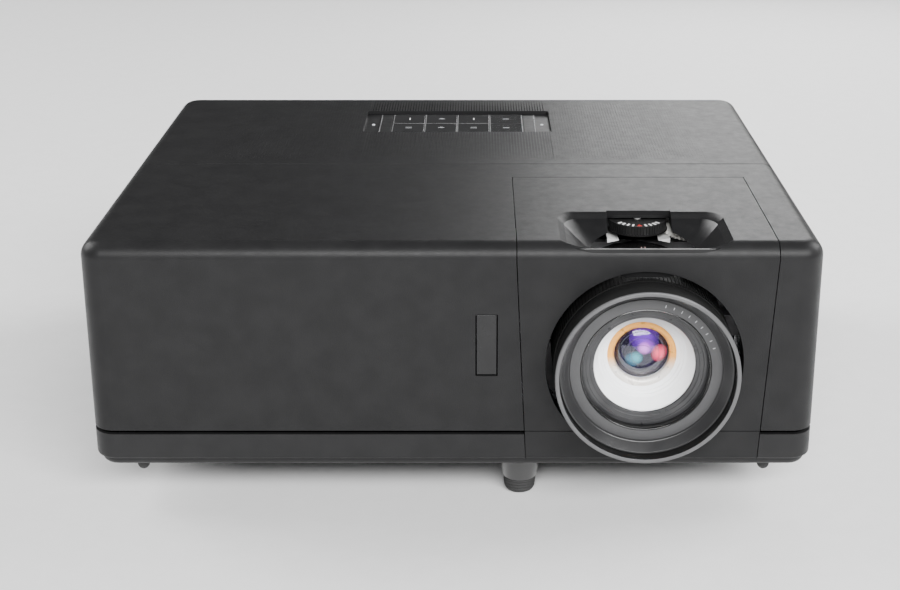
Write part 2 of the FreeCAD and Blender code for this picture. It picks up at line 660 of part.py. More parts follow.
def zoom_ring():
    """Knurled ring behind the focus ring, with the zoom lever that shows in the recess."""
    outer = RING_R - 0.4
    tube = turned([(RING_R - RING_WALL, ZOOM_D0), (outer - 0.6, ZOOM_D0), (outer - 0.6, ZOOM_D1),
                   (RING_R - RING_WALL, ZOOM_D1)])
    grip = cut(knurl_band(outer, ZOOM_D0 + 10, ZOOM_D1 - 1, 96),
               inward(LENS_X, LENS_H, 0, ZOOM_D1 + 5, outer - 1.1))
    lever = block(LENS_X - 0.2, LENS_X + 2.8, ZOOM_D0 + 1.5, ZOOM_D0 + 9,
                  LENS_H + outer - 1, LENS_H + outer + 4.5)
    lever = lever.makeFillet(0.7, level_edges(lever, LENS_H + outer + 4.5))
    return fuse(tube, grip, lever)


def zoom_group():
    """Sliding cell inside the barrel, with its lens: two solids."""
    cell = turned([(22.05, 46), (CELL_R, 46), (CELL_R, 58), (22.05, 58)])
    glass = turned([(0, 48), (22, 49.5), (22, 55), (0, 56)])
    return Part.makeCompound([cell, glass])


def rear_lens():
    """Fixed lens in the back of the barrel."""
    edge = REAR_BORE - 0.1
    return turned([(0, BARREL_D1 - 8), (12, BARREL_D1 - 6.5), (edge, BARREL_D1 - 4.0), (edge, BARREL_D1 - 0.5),
                   (0, BARREL_D1 - 0.5)])


def lens_carriage():
    """Plate round the barrel that slides up and down on the guide rods, with the nut of the shift screw."""
    half_w, half_h = BARREL_R + 4, CARRIAGE_HALF_H
    plate = block(LENS_X - half_w, LENS_X + half_w, CARRIAGE_D0, CARRIAGE_D0 + CARRIAGE_T, LENS_H - half_h,
                  LENS_H + half_h)
    ears = []
    for sign in (-1, 1):
        x0, x1 = sorted((LENS_X + sign * (half_w - 6), LENS_X + sign * (ROD_X + 5.5)))
        ears.append(block(x0, x1, CARRIAGE_D0, ROD_D + 5, LENS_H - 12, LENS_H + 12))
    nut = block(LENS_X + half_w - 6, SCREW_X + 6, DIAL_D - 6, CARRIAGE_D0 + 1, LENS_H - 6, LENS_H + 6)
    nut = cut(nut, inward(LENS_X, LENS_H, 0, ZOOM_D1 + 3, RING_R + 1.5))
    bore = inward(LENS_X, LENS_H, CARRIAGE_D0 - 1, CARRIAGE_D0 + 30, BARREL_R - BARREL_STEP + 0.01)
    shoulder = inward(LENS_X, LENS_H, 0, CARRIAGE_D0, BARREL_R + 0.5)
    rods = [post(LENS_X + sign * ROD_X, ROD_D, 0, BODY_H, ROD_R + RUN) for sign in (-1, 1)]
    thread = post(SCREW_X, DIAL_D, 0, BODY_H, SCREW_R + RUN)
    return cut(fuse(plate, *ears, nut), bore, shoulder, *rods, thread)


def lens_mount():
    """Fixed frame behind the carriage; it holds the guide rods and the foot of the shift screw."""
    x0, x1 = LENS_X - ROD_X - 6, SCREW_X + 5
    plate = block(x0, x1, MOUNT_PLATE_D, MOUNT_PLATE_D + MOUNT_PLATE_T, WALL + 0.1, MOUNT_TOP_H)
    opening_r = BARREL_R - BARREL_STEP + LENS_LIFT + 0.8
    opening = inward(LENS_X, LENS_H, MOUNT_PLATE_D - 1, MOUNT_PLATE_D + 5, opening_r)
    arms = []
    for sign in (-1, 1):
        for h0 in (WALL + 0.1, MOUNT_TOP_H - 5.5):
            x = LENS_X + sign * ROD_X
            arms.append(block(x - 5, x + 5, ROD_D - 5, MOUNT_PLATE_D + 1, h0, h0 + 5))
    foot = block(SCREW_X - 5, SCREW_X + 5, DIAL_D - 5, ROD_D, WALL + 0.1, WALL + 5.1)
    rods = guide_rods().Solids
    mount_boss = [post(x, depth, 0, INSERT_L + 2, INSERT_R + 3) for x, depth in mount_places()]
    seat = post(SCREW_X, DIAL_D, WALL + 2, LENS_H, PIVOT_R + RUN)
    return cut(fuse(plate, foot, *arms), opening, *rods, *mount_boss, seat)


def guide_rods():
    """Two steel rods that the carriage slides on."""
    rods = [post(LENS_X + sign * ROD_X, ROD_D, WALL + 2, ROD_TOP_H, ROD_R) for sign in (-1, 1)]
    return Part.makeCompound(rods)


def shift_dial():
    """Thumb wheel of the lens shift with its gear below."""
    disc = ribbed_disc(60, DIAL_R - 0.55, DIAL_R, 0.68, 0.4, 0, at(LENS_X, DIAL_D, DIAL_H), DIAL_T,
                       FreeCAD.Vector(0, 0, 1))
    teeth = gear(DIAL_TEETH, LENS_X, 0)
    hub = post(LENS_X, DIAL_D, GEAR_H, DIAL_H + 1, 6)
    return cut(fuse(disc, teeth, hub), post(LENS_X, DIAL_D, 0, BODY_H, DIAL_AXLE_R + RUN))


def idler_gear():
    """Gear between the dial and the shift screw."""
    wheel = gear(IDLER_TEETH, IDLER_X, 180 + 180 / IDLER_TEETH)
    hub = post(IDLER_X, DIAL_D, GEAR_H, GEAR_H + 4, 4)
    return cut(fuse(wheel, hub), post(IDLER_X, DIAL_D, 0, BODY_H, DIAL_AXLE_R + RUN))


def shift_screw():
    """Upright lead screw with its pinion; its thread is drawn as a plain shaft."""
    shaft = post(SCREW_X, DIAL_D, WALL + 5.2, GEAR_H + 1, SCREW_R)
    return fuse(shaft, gear(PINION_TEETH, SCREW_X, 180), post(SCREW_X, DIAL_D, WALL + 2.2, WALL + 6, PIVOT_R),
                post(SCREW_X, DIAL_D, GEAR_H + 1, DIAL_H + 3, PIVOT_R))


def dial_bracket():
    """White bracket over the shift gears: a plate with two axles and two side pointers."""
    top = DIAL_H + DIAL_T + 0.5
    rear = MOUNT_PLATE_D + MOUNT_PLATE_T
    plate = block(LENS_X - 20, SCREW_X + 5, RECESS_D1 + RECESS_WALL + GAP, rear, top, top + 1.4)
    step = block(IDLER_X - 13, SCREW_X + 5, RECESS_D1 + RECESS_WALL + GAP, rear, GEAR_H + 4.3, top + 1.4)
    step = cut(step, block(IDLER_X - 11, SCREW_X + 4, RECESS_D1, rear - 1.5, GEAR_H + 5.8, top + 0.1))
    back = block(LENS_X - 20, SCREW_X + 5, rear - 1.5, rear, MOUNT_TOP_H + 0.05, top + 1)
    axles = [post(x, DIAL_D, GEAR_H, top + 0.5, DIAL_AXLE_R) for x in (LENS_X, IDLER_X)]
    pointers = []
    tip_d = RECESS_D1 - POINTER_REACH
    for sign in (-1, 1):
        near, far = LENS_X + sign * (BAY_HALF_W - POINTER_L), LENS_X + sign * (BAY_HALF_W - GAP)
        low = max(MOUNT_TOP_H, LENS_H + CARRIAGE_HALF_H + LENS_LIFT) + GAP
        high = GEAR_H - GAP
        wedge = [at(far, tip_d, low), at(far, tip_d, high), at(near, tip_d, (low + high) / 2)]
        face = Part.Face(Part.makePolygon(wedge + wedge[:1]))
        pointers.append(face.extrude(FreeCAD.Vector(0, rear - tip_d, 0)))
    seat = post(SCREW_X, DIAL_D, 0, DIAL_H + 3.2, PIVOT_R + RUN)
    return cut(fuse(plate, step, back, *axles, *pointers), seat)


# ---- light source and optics ---------------------------------------------------------------------
def light_engine():
    """Housing of the mirrors, prism and light tunnel, open to the lens and to the wheels."""
    top, wall = BODY_H - ENGINE_SINK, ENGINE_WALL
    body = block(ENGINE_X0, ENGINE_X1, ENGINE_D0, ENGINE_D1, ENGINE_H0, top)
    hollow = block(ENGINE_X0 + wall, ENGINE_X1 - wall, ENGINE_D0 + wall, ENGINE_D1 - wall, ENGINE_H0 + wall,
                   top - wall)
    to_lens = inward(LENS_X, LENS_H, ENGINE_D0 - 1, ENGINE_D0 + 5, 18)
    to_wheels = block(ENGINE_X0 - 1, ENGINE_X0 + 5, WHEEL_D - 6, WHEEL_D + 6, WHEEL_H + 12, WHEEL_H + 24)
    return cut(body, hollow, to_lens, to_wheels)


def relay_optics():
    """Glass of the light engine: the rod that evens out the light and the prism before the imaging chip."""
    rod = block(ENGINE_X0 + 4, ENGINE_X0 + 32, WHEEL_D - 3, WHEEL_D + 3, WHEEL_H + 16, WHEEL_H + 21)
    low = LENS_H - 16
    corners = [at(LENS_X - 16, 122, low), at(LENS_X + 16, 122, low), at(LENS_X + 16, 154, low)]
    prism = Part.Face(Part.makePolygon(corners + corners[:1])).extrude(FreeCAD.Vector(0, 0, 32))
    return Part.makeCompound([rod, prism])


def chip_board():
    """Imaging chip and its board behind the light engine."""
    front = ENGINE_D1 + 1
    board = block(LENS_X - 30, LENS_X + 30, front, front + BOARD_T, LENS_H - 24.5, LENS_H + 33.5)
    chip = block(LENS_X - 12, LENS_X + 12, ENGINE_D1 + 2, ENGINE_D1 + 5.5, LENS_H - 8, LENS_H + 8)
    fins = [block(LENS_X - 14 + 4 * i, LENS_X - 12.6 + 4 * i, ENGINE_D1 + 5, ENGINE_D1 + 10, LENS_H - 12,
                  LENS_H + 12) for i in range(8)]
    return fuse(board, chip, block(LENS_X - 14, LENS_X + 15.4, ENGINE_D1 + 4, ENGINE_D1 + 6, LENS_H - 12,
                                   LENS_H + 12), *fins)


def laser_module():
    """Block of laser diodes with its collimating lenses, facing the phosphor wheel."""
    body = block(LASER_X0, LASER_X1, LASER_D0, LASER_D1, LASER_H0, LASER_H1)
    diodes = [across(LASER_D0 + 10 + 11 * i, LASER_H0 + 11 + 11 * j, LASER_X1 - 1, LASER_X1 + 2, 3.5)
              for i in range(5) for j in range(5) if not (1 <= i <= 3 and 1 <= j <= 3)]
    return fuse(body, *diodes)


def heat_sink():
    """Finned block that cools the laser module."""
    base = block(LASER_X0 - 6, LASER_X0 - 0.2, LASER_D0, LASER_D1, LASER_H0, LASER_H1)
    count = int((LASER_D1 - LASER_D0) / FIN_PITCH) + 1
    fins = [block(FIN_X0, LASER_X0 - 5,
                  LASER_D0 + FIN_PITCH * i, LASER_D0 + FIN_PITCH * i + FIN_T, LASER_H0 - 2,
                  LASER_H1 + 6) for i in range(count)]
    return fuse(base, *fins)


def wheel(x, radius, x_hub):
    """Thin disc with a hub, on the axis of the wheels."""
    disc = across(WHEEL_D, WHEEL_H, x, x + 1.2, radius)
    hub = across(WHEEL_D, WHEEL_H, min(x, x_hub), max(x + 1.2, x_hub), 8)
    return fuse(disc, hub)


def wheel_motors():
    """Motors of the phosphor wheel and the colour wheel: two solids."""
    phosphor = fuse(across(WHEEL_D, WHEEL_H, LASER_X1 + 0.1, WHEEL_X - 4.2, 9),
                    across(WHEEL_D, WHEEL_H, LASER_X1 + 1, WHEEL_X - 3.2, 1.5))
    colour = fuse(across(WHEEL_D, WHEEL_H, WHEEL_X + 13, ENGINE_X0 - 0.1, 9),
                  across(WHEEL_D, WHEEL_H, WHEEL_X + 12.2, ENGINE_X0 - 1, 1.5))
    return Part.makeCompound([phosphor, colour])


# ---- electronics ---------------------------------------------------------------------------------
def socket(x, width, height, h0, length, wall, cavity, tongue):
    """Rectangular socket that opens at the back, with an optional tongue set well inside it."""
    half = width / 2
    body = block(x - half - wall, x + half + wall, PORT_MOUTH - length, PORT_MOUTH, h0, h0 + height + 2 * wall)
    hollow = block(x - half, x + half, PORT_MOUTH - cavity, PORT_MOUTH + 1, h0 + wall, h0 + wall + height)
    made = cut(body, hollow)
    if tongue:
        middle = h0 + wall + height / 2
        made = fuse(made, block(x - half + 1.6, x + half - 1.6, PORT_MOUTH - cavity - 1, PORT_MOUTH - 4.8,
                                middle - 0.6, middle + 0.6))
    return made


def d_socket(x, width):
    """D-shaped connector: a flange against the panel and a raised trapezium."""
    flange = block(x - width / 2 - 6, x + width / 2 + 6, PANEL_FACE - 14, PANEL_FACE - 4, PORT_BASE + 0.05,
                   PORT_BASE + 12.5)
    points = [(-width / 2, 10.5), (width / 2, 10.5), (width / 2 - 1.8, 2.5), (-width / 2 + 1.8, 2.5)]
    corners = [at(x + dx, PANEL_FACE - 5, PORT_BASE + h) for dx, h in points]
    outline = Part.Face(Part.makePolygon(corners + corners[:1]))
    shell = outline.extrude(FreeCAD.Vector(0, BODY_D - PANEL_FACE + 5, 0))
    nut_x = width / 2 + 3.6
    nuts = [inward(x + sign * nut_x, PORT_BASE + 6.5, PANEL_FACE - 6, BODY_D, 2.2) for sign in (-1, 1)]
    return fuse(flange, shell, *nuts)


def signal_ports():
    """Two digital video sockets, analogue video, USB, network and serial."""
    digital = [socket(x, 14.0, 4.7, PORT_BASE + 0.05, 12, 0.7, 9, True) for x in HDMI_X]
    data = [socket(USB_X, 12.6, 5.2, PORT_BASE + 0.05, 14, 0.7, 10, True),
            socket(LAN_X, 11.8, 8.2, PORT_BASE + 0.05, 16, 2.0, 11, False)]
    return Part.makeCompound(digital + data + [d_socket(x, 17.0) for x in (VGA_X, SERIAL_X)])


def audio_jacks():
    """Two round audio sockets."""
    jacks = []
    for x in JACK_X:
        body = block(x - 4.5, x + 4.5, PORT_MOUTH - 15, PANEL_FACE - 3, PORT_BASE + 0.05, PORT_BASE + 10)
        nose = inward(x, PORT_BASE + 5, PANEL_FACE - 4, PORT_MOUTH, 3.5)
        jacks.append(cut(fuse(body, nose), inward(x, PORT_BASE + 5, PORT_MOUTH - 12, PORT_MOUTH + 1, 1.8)))
    return Part.makeCompound(jacks)


def power_inlet():
    """Mains inlet with three pins, above the board at the left of the panel."""
    h0 = 47.0
    half_w, half_h = 12.2, 8.4
    flange = block(INLET_X - half_w - 2, INLET_X + half_w + 2, PANEL_FACE - 22, PORT_MOUTH,
                   h0, h0 + 2 * half_h + 4)
    middle = h0 + 2 + half_h
    hollow = block(INLET_X - half_w, INLET_X + half_w, PORT_MOUTH - 18, PORT_MOUTH + 1, middle - half_h,
                   middle + half_h)
    pins = [block(INLET_X + dx - 1, INLET_X + dx + 1, PORT_MOUTH - 19, PORT_MOUTH - 5.4, middle + dh - 2,
                  middle + dh + 2) for dx, dh in ((-7, -2), (0, 2.5), (7, -2))]
    return fuse(cut(flange, hollow), *pins)


def rear_panel():
    """Connector panel that closes the opening in the back."""
    inner = BODY_D - WALL
    plate = block(PANEL_X0 + GAP, PANEL_X1 - GAP, inner - 0.2, PANEL_FACE, PANEL_H0 + GAP, PANEL_H1 - GAP)
    flange = block(PANEL_X0 - 3, PANEL_X1 + 3, inner - 1.3, inner - 0.1, PANEL_H0 - 3, PANEL_H1 + 3)
    base = PORT_BASE - 0.1
    holes = [(x - 8, x + 8, base, base + 6.8) for x in HDMI_X]
    holes += [(USB_X - 7.3, USB_X + 7.3, base, base + 7.3), (LAN_X - 8.2, LAN_X + 8.2, base, base + 12.8)]
    holes += [(INLET_X - 14.5, INLET_X + 14.5, 46.7, 68.1)]
    tools = [block(x0, x1, BODY_D - 10, BODY_D + 5, h0, h1) for x0, x1, h0, h1 in holes]
    for x in (VGA_X, SERIAL_X):
        tools.append(block(x - 8.8, x + 8.8, BODY_D - 10, BODY_D + 5, PORT_BASE + 2.2, PORT_BASE + 10.8))
        tools += [inward(x + sign * 12.1, PORT_BASE + 6.5, BODY_D - 10, BODY_D + 5, 2.4) for sign in (-1, 1)]
    tools += [inward(x, PORT_BASE + 5, BODY_D - 10, BODY_D + 5, 3.7) for x in JACK_X]
    tools.append(block(LOCK_X - LOCK_W / 2, LOCK_X + LOCK_W / 2, BODY_D - 10, BODY_D + 5, LOCK_H - LOCK_T / 2,
                       LOCK_H + LOCK_T / 2))
    return cut(fuse(plate, flange), *tools)


def main_board():
    """Main circuit board behind the connector panel, with its processor and heat spreader."""
    board = block(PANEL_X0 + 8, PANEL_X1 - 4, 192, BODY_D - WALL - 1.6, MAIN_BOARD_H, PORT_BASE)
    chips = [block(-70, -30, 205, 245, PORT_BASE - 0.5, 38), block(5, 27, 210, 232, PORT_BASE - 0.5, 33),
             block(50, 66, 206, 218, PORT_BASE - 0.5, 32.5), block(-118, -96, 200, 240, PORT_BASE - 0.5, 46)]
    return fuse(board, *chips)


def power_board():
    """Power supply board with its transformer, coils and capacitors."""
    board = block(-140, 8, 24, 104, 10, 10 + BOARD_T)
    parts = [block(-128, -92, 34, 66, 11, 44), block(-84, -60, 34, 56, 11, 36), block(-30, -4, 36, 90, 11, 50)]
    parts += [post(-120 + 20 * i, 86, 11, 40, 8) for i in range(4)]
    return fuse(board, *parts)


def speaker():
    """Small loudspeaker behind the left front grille."""
    x, depth, height = -BODY_W / 2 + FAN_SIDE, 76.0, 66.0
    frame = block(x, x + 4, depth - 24, depth + 24, height - 24, height + 24)
    cone = cut(across(depth, height, x - 1, x + 18, 20), across(depth, height, x - 2, x + 14, 17))
    magnet = across(depth, height, x + 17, x + 26, 14)
    return fuse(cut(frame, across(depth, height, x - 2, x + 8, 20)), cone, magnet)


# ---- cooling -------------------------------------------------------------------------------------
def fan_x(sign):
    """Inner and outer sides of a fan, in order of x."""
    return sorted((sign * (BODY_W / 2 - FAN_SIDE), sign * (BODY_W / 2 - FAN_SIDE - FAN_T)))


def fan_frame(sign):
    """Square fan frame with a round throat, a motor seat and its spokes."""
    x0, x1 = fan_x(sign)
    half = FAN_R + 3
    frame = block(x0, x1, FAN_D - half, FAN_D + half, FAN_H - half, FAN_H + half)
    throat = across(FAN_D, FAN_H, x0 - 1, x1 + 1, FAN_R + 0.8)
    inner = x0 if sign > 0 else x1 - 2
    seat = across(FAN_D, FAN_H, inner, inner + 2, 11)
    spokes = [block(inner, inner + 2, FAN_D - half + 0.5, FAN_D + half - 0.5, FAN_H - 2, FAN_H + 2),
              block(inner, inner + 2, FAN_D - 2, FAN_D + 2, FAN_H - half + 0.5, FAN_H + half - 0.5)]
    return fuse(cut(frame, throat), seat, *spokes)


def fan_rotor(sign):
    """Hub with pitched blades."""
    x0, x1 = fan_x(sign)
    lo, hi = (x0 + 3, x1 - 2) if sign > 0 else (x0 + 2, x1 - 3)
    hub = across(FAN_D, FAN_H, lo, hi, FAN_HUB_R)
    middle = (lo + hi) / 2
    ring = cut(across(FAN_D, FAN_H, lo, hi, FAN_R), across(FAN_D, FAN_H, lo - 1, hi + 1, FAN_HUB_R - 1))
    blades = []
    for i in range(FAN_BLADES):
        blade = block(middle - 9, middle + 9, FAN_D - 0.7, FAN_D + 0.7,
                      FAN_H + FAN_HUB_R - 1, FAN_H + FAN_R + 1)
        blade.rotate(at(middle, FAN_D, FAN_H), FreeCAD.Vector(0, 0, 1), 38)
        blade.rotate(at(middle, FAN_D, FAN_H), FreeCAD.Vector(1, 0, 0), 360 * i / FAN_BLADES)
        blades.append(blade)
    return fuse(hub, fuse(*blades).common(ring))


# ---- feet and threads ----------------------------------------------------------------------------
def foot_screw(x, depth):
    """Screw of a foot, moulded into its tapered hand knob; the thread is drawn as a plain shaft."""
    low = FOOT_PAD_H - STAND
    high = low + FOOT_KNOB_H
    narrow = FOOT_PAD_R + 0.3
    knob = turned_upright([(0, low), (narrow - 0.5, low), (narrow, low + 0.5), (FOOT_KNOB_R, high - 1),
                           (FOOT_KNOB_R - 1, high), (0, high)], x, depth)
    return fuse(knob, post(x, depth, low - 4, foot_well_h() + WALL + INSERT_L + 2, FOOT_STEM_R))


def foot_pad(x, depth):
    """Rubber pad under a foot."""
    low = -STAND
    high = low + FOOT_PAD_H - 0.02
    r = FOOT_PAD_R
    pad = turned_upright([(0, low), (r - 2.6, low), (r - 1.3, low + 0.7), (r - 0.7, low + 2.2),
                          (r, high), (0, high)],
                         x, depth)
    return cut(pad, post(x, depth, FOOT_PAD_H - 4.02 - STAND, 0, FOOT_STEM_R + RUN))


def stub_feet():
    """Two small fixed domes near the front corners that stop the projector from tipping."""
    domes = []
    for sign in (-1, 1):
        x = sign * STUB_X
        neck = post(x, STUB_D, -STUB_L + STUB_R, -0.02, STUB_R)
        domes.append(fuse(neck, Part.makeSphere(STUB_R, at(x, STUB_D, -STUB_L + STUB_R))))
    return Part.makeCompound(domes)


def threaded_inserts():
    """Four mount threads and the three nuts of the feet, drawn with plain bores."""
    made = []
    for x, depth in mount_places():
        tube = post(x, depth, 0.2, INSERT_L + 0.2, INSERT_R - 0.01)
        made.append(cut(tube, post(x, depth, -1, INSERT_L + 1, MOUNT_HOLE_R)))
    base = foot_well_h() + WALL
    for _, x, depth in foot_places():
        nut = post(x, depth, base - WALL + 0.2, base + INSERT_L, FOOT_STEM_R + 2.98)
        made.append(cut(nut, post(x, depth, 0, base + INSERT_L + 5, FOOT_STEM_R + RUN)))
    return Part.makeCompound(made)


# ---- the whole object ----------------------------------------------------------------------------
def pieces():
    """Every node by name."""
    made = {
        "front_case": front_case(), "rear_case": rear_case(), "lens_cover": lens_cover(),
        "lower_case": lower_case(), "rear_panel": rear_panel(), "side_grilles": side_grilles(),
        "ir_window": ir_window(), "case_screws": case_screws(),
        "keypad_panel": keypad_panel(), "status_lights": status_lights(), "keypad_board": keypad_board(),
        "focus_ring": focus_ring(), "front_lens_cell": front_lens_cell(), "front_lens": front_lens(),
        "lens_baffle": lens_baffle(), "inner_lens": inner_lens(), "lens_barrel": lens_barrel(),
        "zoom_ring": zoom_ring(), "zoom_group": zoom_group(), "rear_lens": rear_lens(),
        "lens_carriage": lens_carriage(), "lens_mount": lens_mount(), "guide_rods": guide_rods(),
        "shift_dial": shift_dial(), "idler_gear": idler_gear(), "shift_screw": shift_screw(),
        "dial_bracket": dial_bracket(), "light_engine": light_engine(), "relay_optics": relay_optics(),
        "chip_board": chip_board(), "laser_module": laser_module(), "heat_sink": heat_sink(),
        "phosphor_wheel": wheel(WHEEL_X, 27, WHEEL_X - 3), "colour_wheel": wheel(WHEEL_X + 8, 24, WHEEL_X + 12),
        "wheel_motors": wheel_motors(), "signal_ports": signal_ports(),
        "audio_jacks": audio_jacks(), "power_inlet": power_inlet(), "main_board": main_board(),
        "power_board": power_board(), "speaker": speaker(), "stub_feet": stub_feet(),
        "threaded_inserts": threaded_inserts(),
    }
    made["fan_frames"] = Part.makeCompound([fan_frame(sign) for sign in (-1, 1)])
    for side, sign in (("intake", -1), ("exhaust", 1)):
        made[side + "_fan_rotor"] = fan_rotor(sign)
    for name, x, depth in foot_places():
        made[name + "_screw"] = foot_screw(x, depth)
        made[name + "_pad"] = foot_pad(x, depth)
    for row, names in enumerate(BUTTONS):
        for col, name in enumerate(names):
            made[name] = button(row, col)
    return made


def main():
    os.makedirs("parts", exist_ok=True)
    for name, shape in pieces().items():
        shape.exportStep(os.path.join("parts", name + ".step"))
        print(name, "solids", len(shape.Solids), "valid", shape.isValid(), "volume", round(shape.Volume))


if __name__ == "__main__":
    main()
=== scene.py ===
"""Looks of the home projector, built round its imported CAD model. Every length is in metres."""
import logging
import math
from collections.abc import Callable, Sequence
from dataclasses import dataclass, field
from enum import Enum

import bmesh
import bpy
from mathutils import Matrix, Vector


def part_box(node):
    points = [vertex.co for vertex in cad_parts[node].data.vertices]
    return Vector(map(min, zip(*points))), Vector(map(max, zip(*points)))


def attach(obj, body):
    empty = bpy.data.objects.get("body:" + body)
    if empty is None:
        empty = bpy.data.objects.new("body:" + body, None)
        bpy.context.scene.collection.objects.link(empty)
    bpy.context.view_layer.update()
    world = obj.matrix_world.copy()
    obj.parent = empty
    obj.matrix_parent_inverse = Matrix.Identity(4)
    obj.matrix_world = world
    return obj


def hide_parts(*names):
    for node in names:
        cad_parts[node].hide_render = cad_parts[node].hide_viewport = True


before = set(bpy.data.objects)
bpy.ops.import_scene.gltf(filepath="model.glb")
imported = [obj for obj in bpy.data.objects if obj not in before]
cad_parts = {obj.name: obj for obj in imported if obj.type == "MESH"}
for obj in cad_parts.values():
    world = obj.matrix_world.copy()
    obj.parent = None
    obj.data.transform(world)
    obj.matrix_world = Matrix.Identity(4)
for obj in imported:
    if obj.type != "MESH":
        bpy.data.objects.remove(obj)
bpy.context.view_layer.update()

Colour = tuple[float, float, float]
Span = tuple[float, float]
Outline = Sequence[tuple[float, float]]

MM = 0.001
TURN = 2 * math.pi
WELD = 1e-6             # vertices closer than this are one
LOG = logging.getLogger("projector")


class Axis(Enum):
    """A direction that a piece is round about."""

    X = 0
    Y = 1
    Z = 2

    @property
    def vector(self) -> Vector:
        """Unit vector along the axis."""
        return Vector([1.0 if i == self.value else 0.0 for i in range(3)])

    @property
    def turn(self) -> tuple[float, float, float]:
        """Rotation that lays an upright primitive along the axis."""
        return {"X": (0, math.pi / 2, 0), "Y": (math.pi / 2, 0, 0), "Z": (0, 0, 0)}[self.name]


class Grain(Enum):
    """Fine relief of a finish."""

    SPARK = "spark eroded"
    MOULDED = "smooth moulded"
    BRUSHED = "brushed along one axis"
    TURNED = "turned rings"
    CAST = "cast skin"
    BOARD = "circuit traces"


class Cut(Enum):
    """How one solid shapes another."""

    REMOVE = "DIFFERENCE"
    KEEP = "INTERSECT"
    ADD = "UNION"


# ---- bench: the operations that every piece is made with -----------------------------------------
def deselect() -> None:
    """Leaves edit mode and selects nothing."""
    if bpy.context.mode != "OBJECT":
        bpy.ops.object.mode_set(mode="OBJECT")
    bpy.ops.object.select_all(action="DESELECT")


def pick(*things: bpy.types.Object) -> None:
    """Selects only these objects and makes the first one active."""
    deselect()
    for thing in things:
        thing.select_set(True)
    bpy.context.view_layer.objects.active = things[0]


def settle(name: str) -> bpy.types.Object:
    """Names the active new primitive and moves its place into its mesh.

    Args:
        name: name of the piece.

    Returns:
        The piece, at the origin, unturned and unscaled.
    """
    piece = bpy.context.object
    piece.name = name
    piece.data.name = name
    bpy.ops.object.transform_apply(location=True, rotation=True, scale=True)
    return piece


def block(name: str, x: Span, y: Span, z: Span) -> bpy.types.Object:
    """Adds a box.

    Args:
        name: name of the piece.
        x: low and high x.
        y: low and high y.
        z: low and high z.

    Returns:
        The box.
    """
    deselect()
    spans = (x, y, z)
    bpy.ops.mesh.primitive_cube_add(size=1, location=[sum(s) / 2 for s in spans],
                                    scale=[s[1] - s[0] for s in spans])
    return settle(name)


def drum(name: str, centre: Sequence[float], radius: float, length: float, axis: Axis = Axis.Z,
         sides: int = 64) -> bpy.types.Object:
    """Adds a cylinder.

    Args:
        name: name of the piece.
        centre: its middle.
        radius: its radius.
        length: its length along the axis.
        axis: direction of its axis.
        sides: number of side faces.

    Returns:
        The cylinder.
    """
    deselect()
    bpy.ops.mesh.primitive_cylinder_add(vertices=sides, radius=radius, depth=length, location=centre,
                                        rotation=axis.turn)
    return settle(name)


def edit(piece: bpy.types.Object, mode: str, chosen: Callable[..., bool]) -> int:
    """Opens a piece in edit mode with some of its elements selected.

    Args:
        piece: the piece.
        mode: VERT, EDGE or FACE.
        chosen: says whether a vertex (place), an edge (two places) or a face (middle, normal) is selected.

    Returns:
        How many are selected.
    """
    pick(piece)
    bpy.ops.object.mode_set(mode="EDIT")
    bpy.ops.mesh.select_mode(type=mode)
    bpy.ops.mesh.select_all(action="DESELECT")
    mesh = bmesh.from_edit_mesh(piece.data)
    found = []
    if mode == "VERT":
        found = [v for v in mesh.verts if chosen(v.co)]
    elif mode == "EDGE":
        found = [e for e in mesh.edges if chosen(e.verts[0].co, e.verts[1].co)]
    else:
        found = [f for f in mesh.faces if chosen(f.calc_center_median(), f.normal)]
    for element in found:
        element.select_set(True)
    mesh.select_flush_mode()
    bmesh.update_edit_mesh(piece.data)
    return len(found)


def round_edges(piece: bpy.types.Object, chosen: Callable[[Vector, Vector], bool], radius: float,
                segments: int) -> None:
    """Bevels the edges that a test picks, to a round of the radius.

    Args:
        piece: the piece.
        chosen: test on an edge's two ends.
        radius: radius of the round.
        segments: number of faces across it.
    """
    edit(piece, "EDGE", chosen)
    bpy.ops.mesh.bevel(offset=radius, segments=segments, affect="EDGES", clamp_overlap=False)
    deselect()


def upright(a: Vector, b: Vector) -> bool:
    """True for an upright edge."""
    return abs(a.x - b.x) < WELD and abs(a.y - b.y) < WELD


def level(z: float) -> Callable[[Vector, Vector], bool]:
    """Test for the edges that lie at a height."""
    return lambda a, b: abs(a.z - z) < WELD and abs(b.z - z) < WELD


def apply(piece: bpy.types.Object, kind: str, **settings: object) -> None:
    """Adds a modifier and applies it.

    Args:
        piece: the piece.
        kind: the modifier's type.
        settings: values of its properties.
    """
    pick(piece)
    modifier = piece.modifiers.new(kind, kind)
    for key, value in settings.items():
        setattr(modifier, key, value)
    bpy.ops.object.modifier_apply(modifier=modifier.name)


def shape(piece: bpy.types.Object, cut: Cut, *tools: bpy.types.Object) -> bpy.types.Object:
    """Shapes a piece with other solids, which are used up.

    Args:
        piece: the piece.
        cut: whether the tools are removed, added, or what is kept.
        tools: the solids.

    Returns:
        The piece.
    """
    for tool in tools:
        apply(piece, "BOOLEAN", object=tool, operation=cut.value, solver="EXACT")
        bpy.data.objects.remove(tool)
    return piece


def ease(piece: bpy.types.Object, width: float, segments: int = 2, angle: float = 35) -> bpy.types.Object:
    """Takes the sharpness off a piece's edges and shades it smooth between them.

    Args:
        piece: the piece.
        width: width of the small bevel, or 0 for none.
        segments: faces across the bevel.
        angle: least angle of an edge that is eased, in degrees.

    Returns:
        The piece.
    """
    if width > 0:
        apply(piece, "BEVEL", width=width, segments=segments, limit_method="ANGLE",
              angle_limit=math.radians(angle), use_clamp_overlap=True)
    smooth(piece)
    if width > 0:
        apply(piece, "WEIGHTED_NORMAL", keep_sharp=True)
    return piece


